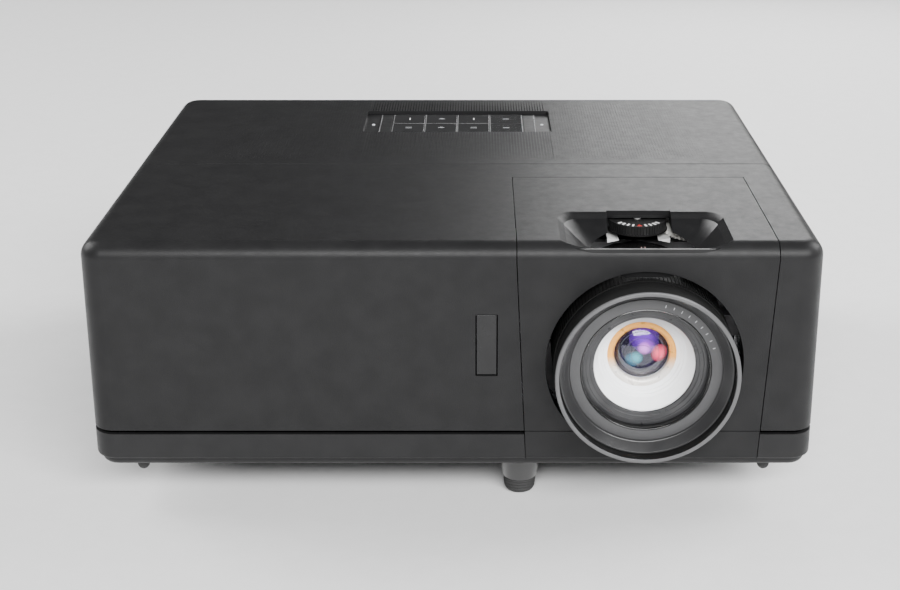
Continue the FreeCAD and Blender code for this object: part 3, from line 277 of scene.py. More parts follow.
def smooth(piece: bpy.types.Object, angle: float = 32) -> bpy.types.Object:
    """Shades a piece smooth except at edges sharper than an angle in degrees."""
    pick(piece)
    bpy.ops.object.shade_smooth_by_angle(angle=math.radians(angle))
    return piece


def merge(name: str, parts: Sequence[bpy.types.Object]) -> bpy.types.Object:
    """Joins meshes into one object under a new name."""
    pick(*parts)
    if len(parts) > 1:
        bpy.ops.object.join()
    parts[0].name = name
    parts[0].data.name = name
    return parts[0]


def moved_copy(piece: bpy.types.Object, move: Matrix, name: str = "copy") -> bpy.types.Object:
    """Copies a piece with its own mesh and moves the copy's mesh by a matrix."""
    pick(piece)
    bpy.ops.object.duplicate()
    copy = bpy.context.object
    copy.name = name
    copy.data.transform(move)
    return copy


def row(piece: bpy.types.Object, steps: Sequence[Sequence[float]], name: str) -> bpy.types.Object:
    """Repeats a piece at each step away from it, as one object.

    Args:
        piece: the first of the row.
        steps: how far each further one is moved.
        name: name of the joined row.

    Returns:
        The row.
    """
    copies = [moved_copy(piece, Matrix.Translation(step)) for step in steps]
    return merge(name, [piece, *copies])


def lathe(name: str, outline: Outline, centre: Sequence[float], axis: Axis = Axis.Y, sides: int = 128,
          corner: float = 0.15 * MM) -> bpy.types.Object:
    """Spins a closed outline round an axis.

    Args:
        name: name of the piece.
        outline: points as (radius, place along the axis), in order round the section.
        centre: a point on the axis, from which places along it are counted.
        axis: direction of the axis.
        sides: number of faces round it.
        corner: how far each corner of the outline is rounded.

    Returns:
        The turned piece.
    """
    deselect()
    bpy.ops.mesh.primitive_circle_add(vertices=len(outline), radius=1, fill_type="NOTHING")
    piece = bpy.context.object
    piece.name = name
    piece.data.name = name
    out = Axis.Z.vector if axis is Axis.X else Axis.X.vector
    origin = Vector(centre)
    for vertex, (radius, along) in zip(piece.data.vertices, outline):
        vertex.co = origin + out * radius + axis.vector * along
    if corner > 0:
        edit(piece, "VERT", lambda p: (p - origin).dot(out) > WELD)
        bpy.ops.mesh.bevel(offset=corner, segments=2, affect="VERTICES", clamp_overlap=True)
    edit(piece, "VERT", lambda p: True)
    bpy.ops.mesh.spin(steps=sides, angle=TURN, center=origin, axis=axis.vector)
    bpy.ops.mesh.select_all(action="SELECT")
    bpy.ops.mesh.remove_doubles(threshold=WELD)
    bpy.ops.mesh.delete_loose()
    bpy.ops.mesh.select_all(action="SELECT")
    bpy.ops.mesh.normals_make_consistent(inside=False)
    deselect()
    return smooth(piece)


def ribbed_drum(name: str, centre: Sequence[float], radius: float, length: float, axis: Axis, ribs: int,
                depth: float, share: int = 3) -> bpy.types.Object:
    """Cylinder with straight grooves sunk along it, one to every few side faces.

    Args:
        name: name of the piece.
        centre: its middle.
        radius: radius over the ribs.
        length: its length.
        axis: direction of its axis.
        ribs: number of ribs.
        depth: depth of the grooves.
        share: side faces from one groove to the next.

    Returns:
        The ribbed cylinder.
    """
    piece = drum(name, centre, radius, length, axis, ribs * share)
    origin = Vector(centre)
    first, second = [a.vector for a in Axis if a is not axis]

    def in_groove(middle: Vector, normal: Vector) -> bool:
        if abs(normal.dot(axis.vector)) > 0.5:
            return False
        turn = math.atan2((middle - origin).dot(second), (middle - origin).dot(first)) % TURN
        return int(turn / TURN * ribs * share) % share == 0

    edit(piece, "FACE", in_groove)
    bpy.ops.mesh.inset(thickness=radius * TURN / (ribs * share) * 0.12, use_individual=True)
    bpy.ops.transform.shrink_fatten(value=-depth)
    deselect()
    return smooth(piece, 25)


def from_cad(node: str, name: str, width: float = 0.0) -> bpy.types.Object:
    """Welded copy of a CAD node with its flat faces made whole and its edges eased.

    Args:
        node: name of the CAD node.
        name: name of the new piece.
        width: width of the eased edges.

    Returns:
        The copy, free of the node.
    """
    piece = bpy.data.objects.new(name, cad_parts[node].data.copy())
    bpy.context.scene.collection.objects.link(piece)
    piece.data.materials.clear()
    edit(piece, "VERT", lambda p: True)
    bpy.ops.mesh.remove_doubles(threshold=WELD)
    bpy.ops.mesh.dissolve_limited(angle_limit=math.radians(0.5))
    deselect()
    return ease(piece, width)


# ---- finishes ------------------------------------------------------------------------------------
def link(tree: bpy.types.NodeTree, source: bpy.types.NodeSocket, target: bpy.types.NodeSocket) -> None:
    """Joins two sockets."""
    tree.links.new(source, target)


def noise(tree: bpy.types.NodeTree, coordinates: bpy.types.NodeSocket, scale: float, detail: float,
          roughness: float = 0.5) -> bpy.types.NodeSocket:
    """Noise on the given coordinates.

    Args:
        tree: the node tree.
        coordinates: where the pattern is read.
        scale: patterns per unit.
        detail: number of finer layers.
        roughness: weight of those layers.

    Returns:
        The noise value.
    """
    node = tree.nodes.new("ShaderNodeTexNoise")
    node.inputs["Scale"].default_value = scale
    node.inputs["Detail"].default_value = detail
    node.inputs["Roughness"].default_value = roughness
    link(tree, coordinates, node.inputs["Vector"])
    return node.outputs["Fac"]


def remap(tree: bpy.types.NodeTree, value: bpy.types.NodeSocket, source: Span,
          target: Span) -> bpy.types.NodeSocket:
    """Stretches a value from one range to another, held at its ends."""
    node = tree.nodes.new("ShaderNodeMapRange")
    link(tree, value, node.inputs["Value"])
    for name, number in zip(("From Min", "From Max", "To Min", "To Max"), (*source, *target)):
        node.inputs[name].default_value = number
    return node.outputs["Result"]


def blend_colours(tree: bpy.types.NodeTree, share: bpy.types.NodeSocket, first: Colour | bpy.types.NodeSocket,
                  second: Colour | bpy.types.NodeSocket) -> bpy.types.NodeSocket:
    """Mixes two colours by a share that varies over the surface.

    Args:
        tree: the node tree.
        share: how much of the second colour shows.
        first: colour or socket at 0.
        second: colour or socket at 1.

    Returns:
        The mixed colour.
    """
    node = tree.nodes.new("ShaderNodeMix")
    node.data_type = "RGBA"
    link(tree, share, node.inputs["Factor"])
    for socket, colour in zip((node.inputs[6], node.inputs[7]), (first, second)):
        if isinstance(colour, bpy.types.NodeSocket):
            link(tree, colour, socket)
        else:
            socket.default_value = (*colour, 1.0)
    return node.outputs[2]


@dataclass(frozen=True)
class Finish:
    """One surface finish, made of nodes that read the object's own coordinates.

    The relief is a bump of a real height, and the colour and the roughness wander a little over the surface.
    """

    name: str
    colour: Colour
    mottle: Colour
    roughness: float
    grain: Grain = Grain.MOULDED
    grain_size: float = 0.5 * MM
    grain_height: float = 0.006 * MM
    spread: float = 0.06
    metallic: float = 0.0
    specular: float = 0.5
    coat: float = 0.0
    coat_roughness: float = 0.1
    along: Axis = Axis.X
    centre: tuple[float, float, float] = (0.0, 0.0, 0.0)

    @property
    def title(self) -> str:
        """Name of its material, apart from the names of the material slots."""
        return self.name + "_finish"

    def material(self) -> bpy.types.Material:
        """Makes the material, or gives the one already made."""
        made = bpy.data.materials.get(self.title)
        return made if made else self.build()

    def build(self) -> bpy.types.Material:
        """Builds the node tree.

        Returns:
            The new material.
        """
        material = bpy.data.materials.new(self.title)
        material.use_nodes = True
        tree = material.node_tree
        shader = tree.nodes["Principled BSDF"]
        place = self.coordinates(tree)
        wander = noise(tree, place, 1 / (14 * MM), 3)
        shade = blend_colours(tree, remap(tree, wander, (0.35, 0.65), (0, 1)), self.colour, self.mottle)
        link(tree, self.coloured(tree, place, shade), shader.inputs["Base Color"])
        smudge = noise(tree, place, 1 / (5 * MM), 4, 0.6)
        spread = (max(self.roughness - self.spread, 0.0), min(self.roughness + self.spread, 1.0))
        link(tree, remap(tree, smudge, (0.3, 0.7), spread), shader.inputs["Roughness"])
        shader.inputs["Metallic"].default_value = self.metallic
        shader.inputs["Specular IOR Level"].default_value = self.specular
        shader.inputs["Coat Weight"].default_value = self.coat
        shader.inputs["Coat Roughness"].default_value = self.coat_roughness
        bump = tree.nodes.new("ShaderNodeBump")
        bump.inputs["Distance"].default_value = self.grain_height
        bump.inputs["Strength"].default_value = 1.0
        link(tree, self.relief(tree, place), bump.inputs["Height"])
        link(tree, bump.outputs["Normal"], shader.inputs["Normal"])
        self.adjust(tree, shader, place)
        return material

    def coordinates(self, tree: bpy.types.NodeTree) -> bpy.types.NodeSocket:
        """Object coordinates counted from the finish's centre."""
        source = tree.nodes.new("ShaderNodeTexCoord")
        mapping = tree.nodes.new("ShaderNodeMapping")
        mapping.inputs["Location"].default_value = [-c for c in self.centre]
        link(tree, source.outputs["Object"], mapping.inputs["Vector"])
        return mapping.outputs["Vector"]

    def relief(self, tree: bpy.types.NodeTree, place: bpy.types.NodeSocket) -> bpy.types.NodeSocket:
        """Height of the grain over the surface.

        Args:
            tree: the node tree.
            place: the coordinates.

        Returns:
            The height, from 0 to 1.
        """
        scale = 1 / self.grain_size
        if self.grain is Grain.TURNED:
            rings = tree.nodes.new("ShaderNodeTexWave")
            rings.wave_type = "RINGS"
            rings.rings_direction = self.along.name
            rings.inputs["Scale"].default_value = scale / 6
            rings.inputs["Distortion"].default_value = 0.4
            link(tree, place, rings.inputs["Vector"])
            return rings.outputs["Fac"]
        if self.grain is Grain.BRUSHED:
            stretch = tree.nodes.new("ShaderNodeMapping")
            stretch.inputs["Scale"].default_value = [0.02 if a is self.along else 1.0 for a in Axis]
            link(tree, place, stretch.inputs["Vector"])
            return noise(tree, stretch.outputs["Vector"], scale, 2)
        if self.grain is Grain.SPARK:
            pits = tree.nodes.new("ShaderNodeTexVoronoi")
            pits.feature = "SMOOTH_F1"
            pits.inputs["Scale"].default_value = scale
            link(tree, place, pits.inputs["Vector"])
            total = tree.nodes.new("ShaderNodeMath")
            total.operation = "MULTIPLY_ADD"
            total.inputs[1].default_value = 0.6
            link(tree, noise(tree, place, scale * 1.7, 2), total.inputs[0])
            link(tree, pits.outputs["Distance"], total.inputs[2])
            return total.outputs["Value"]
        return noise(tree, place, scale, 4 if self.grain is Grain.CAST else 2)

    def coloured(self, tree: bpy.types.NodeTree, place: bpy.types.NodeSocket,
                 shade: bpy.types.NodeSocket) -> bpy.types.NodeSocket:
        """Colour over the surface, given the mottled base colour."""
        if self.grain is not Grain.BOARD:
            return shade
        traces = tree.nodes.new("ShaderNodeTexBrick")
        traces.inputs["Scale"].default_value = 1 / (9 * MM)
        traces.inputs["Mortar Size"].default_value = 0.06
        traces.inputs["Color2"].default_value = (0.02, 0.20, 0.08, 1)
        traces.inputs["Mortar"].default_value = (0.16, 0.42, 0.15, 1)
        link(tree, place, traces.inputs["Vector"])
        link(tree, shade, traces.inputs["Color1"])
        return traces.outputs["Color"]

    def adjust(self, tree: bpy.types.NodeTree, shader: bpy.types.ShaderNode,
               place: bpy.types.NodeSocket) -> None:
        """Hook for finishes that need more than the plain recipe."""


@dataclass(frozen=True)
class ClearGlass(Finish):
    """Thin coated glass that lets lamps light what is behind it."""

    def adjust(self, tree: bpy.types.NodeTree, shader: bpy.types.ShaderNode,
               place: bpy.types.NodeSocket) -> None:
        """Makes the shader transparent to lamps and clear to sight.

        Args:
            tree: the node tree.
            shader: the main shader.
            place: the coordinates.
        """
        shader.inputs["Transmission Weight"].default_value = 1.0
        shader.inputs["IOR"].default_value = 1.12
        path = tree.nodes.new("ShaderNodeLightPath")
        clear = tree.nodes.new("ShaderNodeBsdfTransparent")
        join = tree.nodes.new("ShaderNodeMixShader")
        link(tree, path.outputs["Is Shadow Ray"], join.inputs[0])
        link(tree, shader.outputs["BSDF"], join.inputs[1])
        link(tree, clear.outputs["BSDF"], join.inputs[2])
        link(tree, join.outputs["Shader"], tree.nodes["Material Output"].inputs["Surface"])


@dataclass(frozen=True)
class GlintPaintedFinish(Finish):
    """Finish with soft round patches of other colours, painted glints and reflections on a coated glass,
    given as (offset, radius, colour, glow).
    """

    painted_glints: tuple[tuple[tuple[float, float, float], float, Colour], ...] = ()
    glint_glow: float = 0.0

    def coloured(self, tree: bpy.types.NodeTree, place: bpy.types.NodeSocket,
                 shade: bpy.types.NodeSocket) -> bpy.types.NodeSocket:
        """Lays each painted glint over the base colour."""
        for offset, radius, colour in self.painted_glints:
            gap = tree.nodes.new("ShaderNodeVectorMath")
            gap.operation = "DISTANCE"
            link(tree, place, gap.inputs[0])
            gap.inputs[1].default_value = offset
            shade = blend_colours(tree, remap(tree, gap.outputs["Value"], (radius * 0.25, radius), (1, 0)),
                                  shade, colour)
        return shade

    def adjust(self, tree: bpy.types.NodeTree, shader: bpy.types.ShaderNode,
               place: bpy.types.NodeSocket) -> None:
        """Makes the painted glints give off faint light: emission that paints reflected light, not a lamp."""
        if self.glint_glow > 0:
            link(tree, shader.inputs["Base Color"].links[0].from_socket, shader.inputs["Emission Color"])
            shader.inputs["Emission Strength"].default_value = self.glint_glow


@dataclass(frozen=True)
class GradedFinish(Finish):
    """Finish whose colour changes with height, from the base colour below to another above, which paints
    shade and reflections by height.
    """

    above: Colour = (1.0, 1.0, 1.0)
    low: float = 0.0
    high: float = 1.0

    def coloured(self, tree: bpy.types.NodeTree, place: bpy.types.NodeSocket,
                 shade: bpy.types.NodeSocket) -> bpy.types.NodeSocket:
        """Fades from the mottled base colour to the painted upper colour."""
        split = tree.nodes.new("ShaderNodeSeparateXYZ")
        link(tree, place, split.inputs[0])
        rise = remap(tree, split.outputs["Z"], (self.low, self.high), (0, 1))
        return blend_colours(tree, rise, shade, self.above)


CASE_BLACK = Finish("case_black", (0.011, 0.011, 0.0115), (0.014, 0.014, 0.0145), 0.42, Grain.SPARK,
                    0.55 * MM, 0.034 * MM, 0.04, specular=0.2)
TRAY_BLACK = Finish("tray_black", (0.010, 0.010, 0.0105), (0.013, 0.013, 0.0135), 0.46, Grain.SPARK,
                    0.6 * MM, 0.030 * MM, specular=0.28)
PANEL_BLACK = Finish("panel_black", (0.010, 0.010, 0.0105), (0.014, 0.014, 0.0145), 0.48, Grain.SPARK,
                     0.5 * MM, 0.02 * MM, specular=0.3)
# Recess liner: darker than the case, painted shade in the scooped recess.
SCOOP_SHADE_BLACK = Finish("scoop_black", (0.008, 0.008, 0.0085), (0.010, 0.010, 0.0105), 0.34, specular=0.35)
WINDOW_GREY = Finish("window_grey", (0.012, 0.012, 0.0125), (0.015, 0.015, 0.0155), 0.30, specular=0.3)
KEY_BLACK = Finish("key_black", (0.010, 0.010, 0.011), (0.014, 0.014, 0.015), 0.16, coat=0.6,
                   coat_roughness=0.08)
WEB_BLACK = Finish("web_black", (0.012, 0.012, 0.0125), (0.016, 0.016, 0.0165), 0.36, specular=0.35)
# Light grey ridges between the keys: painted highlights standing for the lit edges of the web.
WEB_HIGHLIGHT = Finish("web_line", (0.34, 0.34, 0.35), (0.42, 0.42, 0.43), 0.3, metallic=0.5)
MARK_GREY = Finish("mark_grey", (0.55, 0.56, 0.58), (0.60, 0.61, 0.63), 0.5)
MARK_WHITE = Finish("mark_white", (0.86, 0.86, 0.85), (0.80, 0.80, 0.79), 0.5)
MARK_RED = Finish("mark_red", (0.55, 0.02, 0.015), (0.48, 0.015, 0.012), 0.45)
MARK_PINK = Finish("mark_pink", (0.80, 0.55, 0.52), (0.74, 0.48, 0.45), 0.4)
LIGHT_PIPE = Finish("light_pipe", (0.75, 0.78, 0.80), (0.68, 0.71, 0.74), 0.25)
RIM_GREY = Finish("rim_grey", (0.10, 0.10, 0.103), (0.12, 0.12, 0.123), 0.40, Grain.CAST, 0.3 * MM,
                  metallic=0.3)
CONE_GREY = Finish("cone_grey", (0.020, 0.020, 0.021), (0.026, 0.026, 0.027), 0.36, Grain.CAST, 0.3 * MM)
NAME_GREY = Finish("name_grey", (0.050, 0.050, 0.052), (0.058, 0.058, 0.060), 0.44, Grain.CAST, 0.3 * MM)
GRIP_BLACK = Finish("grip_black", (0.006, 0.006, 0.006), (0.008, 0.008, 0.008), 0.55, specular=0.25)
WALL_BLACK = Finish("wall_black", (0.008, 0.008, 0.008), (0.011, 0.011, 0.011), 0.14, coat=0.5)
WALL_SATIN = Finish("wall_satin", (0.028, 0.028, 0.030), (0.045, 0.045, 0.047), 0.32)
DIAL_BLACK = Finish("dial_black", (0.012, 0.012, 0.012), (0.016, 0.016, 0.016), 0.36)
BRACKET_WHITE = Finish("bracket_white", (0.82, 0.82, 0.81), (0.78, 0.78, 0.77), 0.45)
CAST_METAL = Finish("cast_metal", (0.36, 0.36, 0.37), (0.42, 0.42, 0.43), 0.5, Grain.CAST, 1.2 * MM,
                    0.04 * MM,
                    metallic=0.9)
PLATED_STEEL = Finish("plated_steel", (0.58, 0.59, 0.61), (0.52, 0.53, 0.55), 0.3, Grain.BRUSHED, 0.4 * MM,
                      metallic=1.0)
GROUND_ROD = Finish("ground_rod", (0.66, 0.67, 0.69), (0.60, 0.61, 0.63), 0.22, Grain.BRUSHED, 0.3 * MM,
                    metallic=1.0, along=Axis.Z)
FIN_METAL = Finish("fin_metal", (0.74, 0.75, 0.77), (0.68, 0.69, 0.71), 0.32, Grain.BRUSHED, 0.5 * MM,
                   metallic=1.0)
NATURAL_ACETAL = Finish("natural_acetal", (0.82, 0.81, 0.77), (0.78, 0.77, 0.72), 0.42)
PHOSPHOR = Finish("phosphor", (0.76, 0.70, 0.14), (0.70, 0.62, 0.10), 0.5, Grain.TURNED, 0.8 * MM,
                  along=Axis.X)
FILTER = Finish("filter_glass", (0.42, 0.10, 0.14), (0.12, 0.14, 0.45), 0.1, coat=0.6)
OPTIC = Finish("optic_glass", (0.62, 0.70, 0.74), (0.58, 0.66, 0.72), 0.06, coat=0.8)
BOARD = Finish("board_green", (0.018, 0.15, 0.06), (0.022, 0.17, 0.07), 0.35, Grain.BOARD, 0.4 * MM)
PORT_METAL = Finish("port_metal", (0.60, 0.61, 0.63), (0.54, 0.55, 0.57), 0.26, Grain.BRUSHED, 0.3 * MM,
                    metallic=1.0, along=Axis.Y)
PORT_BLACK = Finish("port_black", (0.018, 0.018, 0.018), (0.024, 0.024, 0.024), 0.4)
PORT_BLUE = Finish("port_blue", (0.03, 0.10, 0.45), (0.03, 0.12, 0.50), 0.4)
PORT_GREEN = Finish("port_green", (0.10, 0.42, 0.12), (0.12, 0.46, 0.14), 0.4)
CONTACT_GOLD = Finish("contact_gold", (0.80, 0.60, 0.25), (0.74, 0.55, 0.22), 0.25, metallic=1.0)
BRASS = Finish("brass", (0.68, 0.52, 0.24), (0.60, 0.45, 0.20), 0.3, Grain.TURNED, 0.4 * MM, metallic=1.0,
               along=Axis.Z)
SCREW_BLACK = Finish("screw_black", (0.05, 0.05, 0.05), (0.07, 0.07, 0.07), 0.3, metallic=0.9)
FOOT_GLOSS = Finish("foot_gloss", (0.010, 0.010, 0.010), (0.014, 0.014, 0.014), 0.10, coat=1.0,
                    coat_roughness=0.05)
FOOT_RUBBER = Finish("foot_rubber", (0.022, 0.022, 0.022), (0.030, 0.030, 0.030), 0.75, Grain.CAST, 0.5 * MM,
                     0.02 * MM)
FAN_BLACK = Finish("fan_black", (0.018, 0.018, 0.018), (0.024, 0.024, 0.024), 0.4)
CONE_PAPER = Finish("cone_paper", (0.03, 0.03, 0.03), (0.045, 0.045, 0.045), 0.8, Grain.CAST, 0.8 * MM,
                    0.05 * MM)


# ---- the frame's own places ----------------------------------------------------------------------
@dataclass(frozen=True)
class Datum:
    """Places that the pieces share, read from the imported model."""

    left: float
    right: float
    front: float
    back: float
    underside: float
    top: float
    skirt: float
    split: float
    lens_x: float
    lens_z: float

    @classmethod
    def read(cls) -> "Datum":
        """Reads the casing's faces and the lens axis from the frame."""
        front, rear, lower, ring = (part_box(n) for n in ("front_case", "rear_case", "lower_case",
                                                        "focus_ring"))
        return cls(front[0].x, front[1].x, front[0].y, rear[1].y, lower[0].z, front[1].z,
                   (lower[1].z + front[0].z) / 2, (front[1].y + rear[0].y) / 2,
                   (ring[0].x + ring[1].x) / 2, (ring[0].z + ring[1].z) / 2)

    def y(self, depth: float) -> float:
        """Place of a depth behind the front face."""
        return self.front + depth

    def z(self, height: float) -> float:
        """Place of a height above the underside."""
        return self.underside + height

    @property
    def lens(self) -> tuple[float, float, float]:
        """Point where the lens axis meets the front face."""
        return self.lens_x, self.front, self.lens_z


def install(piece: bpy.types.Object, finish: Finish, body: str, slot: str,
            *replaced: str) -> bpy.types.Object:
    """Gives a piece its finish and its body, and hides the CAD nodes that it stands for.

    Args:
        piece: the piece.
        finish: its finish.
        body: the body that it moves with.
        slot: the material slot; not used.
        replaced: CAD nodes that it stands for.

    Returns:
        The piece.
    """
    piece.data.materials.clear()
    piece.data.materials.append(finish.material())
    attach(piece, body)
    if replaced:
        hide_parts(*replaced)
    LOG.info("%s: %d faces, rides on %s", piece.name, len(piece.data.polygons), body)
    return piece


def install_row(name: str, parts: Sequence[bpy.types.Object], finish: Finish, body: str, slot: str,
                *replaced: str) -> bpy.types.Object:
    """Joins parts and installs them as one piece."""
    return install(merge(name, parts), finish, body, slot, *replaced)


def recut(node: str, name: str, width: float, finish: Finish, slot: str) -> bpy.types.Object:
    """Installs a casing node's own outline, with its edges eased to a width, as a new piece."""
    return install(from_cad(node, name, width), finish, "casing", slot, node)


def dress(node: str, finish: Finish) -> None:
    """Gives a CAD node whose shape is right a finish of its own."""
    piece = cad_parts[node]
    if not piece.material_slots:
        piece.data.materials.append(finish.material())
    for slot in piece.material_slots:
        slot.material = finish.material()
    LOG.info("%s: CAD shape kept, finish %s", node, finish.name)


# ---- casing --------------------------------------------------------------------------------------
@dataclass
class Casing:
    """Front and rear covers and base tray."""

    datum: Datum
    wall: float = 2.5 * MM
    corner: float = 12.0 * MM
    top_round: float = 8.5 * MM
    lip_round: float = 1.6 * MM
    lip_height: float = 5.0 * MM
    seam: float = 0.4 * MM
    cover_taper: float = 5.4 * MM
    edge: float = 0.22 * MM
    overshoot: float = 5.0 * MM
    grille_spans: tuple[Span, Span] = ((30.0 * MM, 118.0 * MM), (166.0 * MM, 274.0 * MM))
    grille_heights: Span = (34.0 * MM, 99.0 * MM)
    rib_pitch: float = 1.75 * MM
    rib_width: float = 0.6 * MM
    rib_depth: float = 0.2 * MM
    rib_reach: float = 148.0 * MM
    rib_fade: float = 95.0 * MM
    rib_margin: float = 9.0 * MM
    keypad_round: float = 2.0 * MM

    def slab(self, name: str, inset: float, low: float, top_round: float,
             lip_round: float) -> bpy.types.Object:
        """Block of the casing's plan with its upright corners, top edge and lip rounded.

        Args:
            name: name of the block.
            inset: how far it is drawn in all round and at the top.
            low: its underside.
            top_round: radius round the top.
            lip_round: radius round the bottom, or 0.

        Returns:
            The block.
        """
        d = self.datum
        top = d.top - inset
        piece = block(name, (d.left + inset, d.right - inset), (d.front + inset, d.back - inset), (low, top))
        round_edges(piece, upright, self.corner - inset, 12)
        round_edges(piece, level(top), top_round, 10)
        if lip_round > 0:
            round_edges(piece, level(low), lip_round, 4)
        return piece

    def skin(self, name: str) -> bpy.types.Object:
        """Hollow outer shell from its lip to the top."""
        low = self.datum.z(self.lip_height)
        outside = self.slab(name, 0, low, self.top_round, self.lip_round)
        inside = self.slab("hollow", self.wall, low - 1 * MM, self.top_round - self.wall, 0)
        return shape(outside, Cut.REMOVE, inside)

    def cover_prism(self, grow: float) -> bpy.types.Object:
        """Solid that the lens cover is cut with: upright above the knee, leaning in down the front.

        Args:
            grow: how far it stands out from the middle of the seam.

        Returns:
            The solid.
        """
        d = self.datum
        low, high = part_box("lens_cover")
        half = self.seam / 2
        x = (low.x - half - grow, high.x + half + grow)
        knee = d.top - self.top_round
        piece = block("cover_prism", x, (d.front - self.overshoot, high.y + half + grow),
                      (d.z(self.lip_height) - 1 * MM, knee))
        edit(piece, "FACE", lambda middle, normal: normal.z > 0.5)
        bpy.ops.mesh.extrude_region_move(TRANSFORM_OT_translate={"value": (0, 0,
                                                                           self.top_round + self.overshoot)})
        for side, lean in zip(x, (self.cover_taper, -self.cover_taper)):
            edit(piece, "VERT", lambda p, side=side: abs(p.x - side) < WELD and p.z < knee - WELD)
            bpy.ops.transform.translate(value=(lean, 0, 0))
        deselect()
        return piece

    def region(self, depths: Span) -> bpy.types.Object:
        """Everything above the skirt joint between two depths."""
        d = self.datum
        return block("region", (d.left - self.overshoot, d.right + self.overshoot), depths,
                     (d.skirt + self.seam / 2, d.top + self.overshoot))

    def grille_holes(self, span: Span) -> list[bpy.types.Object]:
        """Solids that open both side walls for a pair of grilles."""
        d = self.datum
        z = [d.z(h) for h in self.grille_heights]
        y = [d.y(depth) for depth in span]
        return [block("grille_hole", (x - 2 * self.overshoot, x + 2 * self.overshoot), y,
                      z) for x in (d.left, d.right)]

    def front(self) -> bpy.types.Object:
        """Front cover, open for the lens cover, the infrared window and two grilles."""
        d = self.datum
        shell = shape(self.skin("front_cover"), Cut.KEEP,
                      self.region((d.front - self.overshoot, d.split - self.seam / 2)))
        low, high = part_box("ir_window")
        gap = 0.5 * MM
        rim = 2.5 * MM
        window = block("window_hole", (low.x + rim - gap, high.x - rim + gap),
                       (d.front - self.overshoot, d.front + self.overshoot),
                       (low.z + rim - gap, high.z - rim + gap))
        shape(shell, Cut.REMOVE, self.cover_prism(self.seam / 2), window,
              *self.grille_holes(self.grille_spans[0]))
        return install(ease(shell, self.edge), CASE_BLACK, "casing", "case_black", "front_case")

    def rear(self) -> bpy.types.Object:
        """Rear cover, open for the keypad, the connector panel and two grilles, with its fine ribs."""
        d = self.datum
        shell = shape(self.skin("rear_cover"), Cut.KEEP,
                      self.region((d.split + self.seam / 2, d.back + self.overshoot)))
        low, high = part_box("keypad_panel")
        tuck = 3.0 * MM
        hole = block("keypad_hole", (low.x + tuck, high.x - tuck), (low.y + tuck, high.y - tuck),
                     (d.top - 2 * self.overshoot, d.top + self.overshoot))
        round_edges(hole, upright, self.keypad_round, 4)
        low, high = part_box("rear_panel")
        panel = block("panel_hole", (low.x + tuck, high.x - tuck), (d.back - self.overshoot,
                                                                    d.back + self.overshoot),
                      (low.z + tuck, high.z - tuck))
        shape(shell, Cut.REMOVE, hole, panel, *self.grille_holes(self.grille_spans[1]))
        ease(shell, self.edge)
        shape(shell, Cut.REMOVE, self.ribs())
        smooth(shell)
        apply(shell, "WEIGHTED_NORMAL", keep_sharp=True)
        return install(shell, CASE_BLACK, "casing", "case_black", "rear_case")

    def ribs(self) -> bpy.types.Object:
        """Comb of bars that cuts the fine grooves of the rear top, shallower towards the sides."""
        d = self.datum
        half = self.rib_width / 2
        groove = block("groove", (-half, half), (d.split + self.rib_margin, d.back - self.rib_margin),
                       (d.top - self.rib_depth, d.top + 1 * MM))
        count = int(self.rib_reach / self.rib_pitch)
        steps = []
        for i in range(-count, count + 1):
            x = i * self.rib_pitch
            fade = max(abs(x) - self.rib_fade, 0) / (self.rib_reach - self.rib_fade)
            if i:
                steps.append((x, 0, self.rib_depth * 0.8 * fade))
        return row(groove, steps, "groove_comb")

    def base(self) -> bpy.types.Object:
        """Base tray and skirt."""
        return recut("lower_case", "base_tray", self.edge, TRAY_BLACK, "case_black")

    def build(self) -> None:
        """Builds the covers and the tray."""
        self.front()
        self.rear()
        self.base()


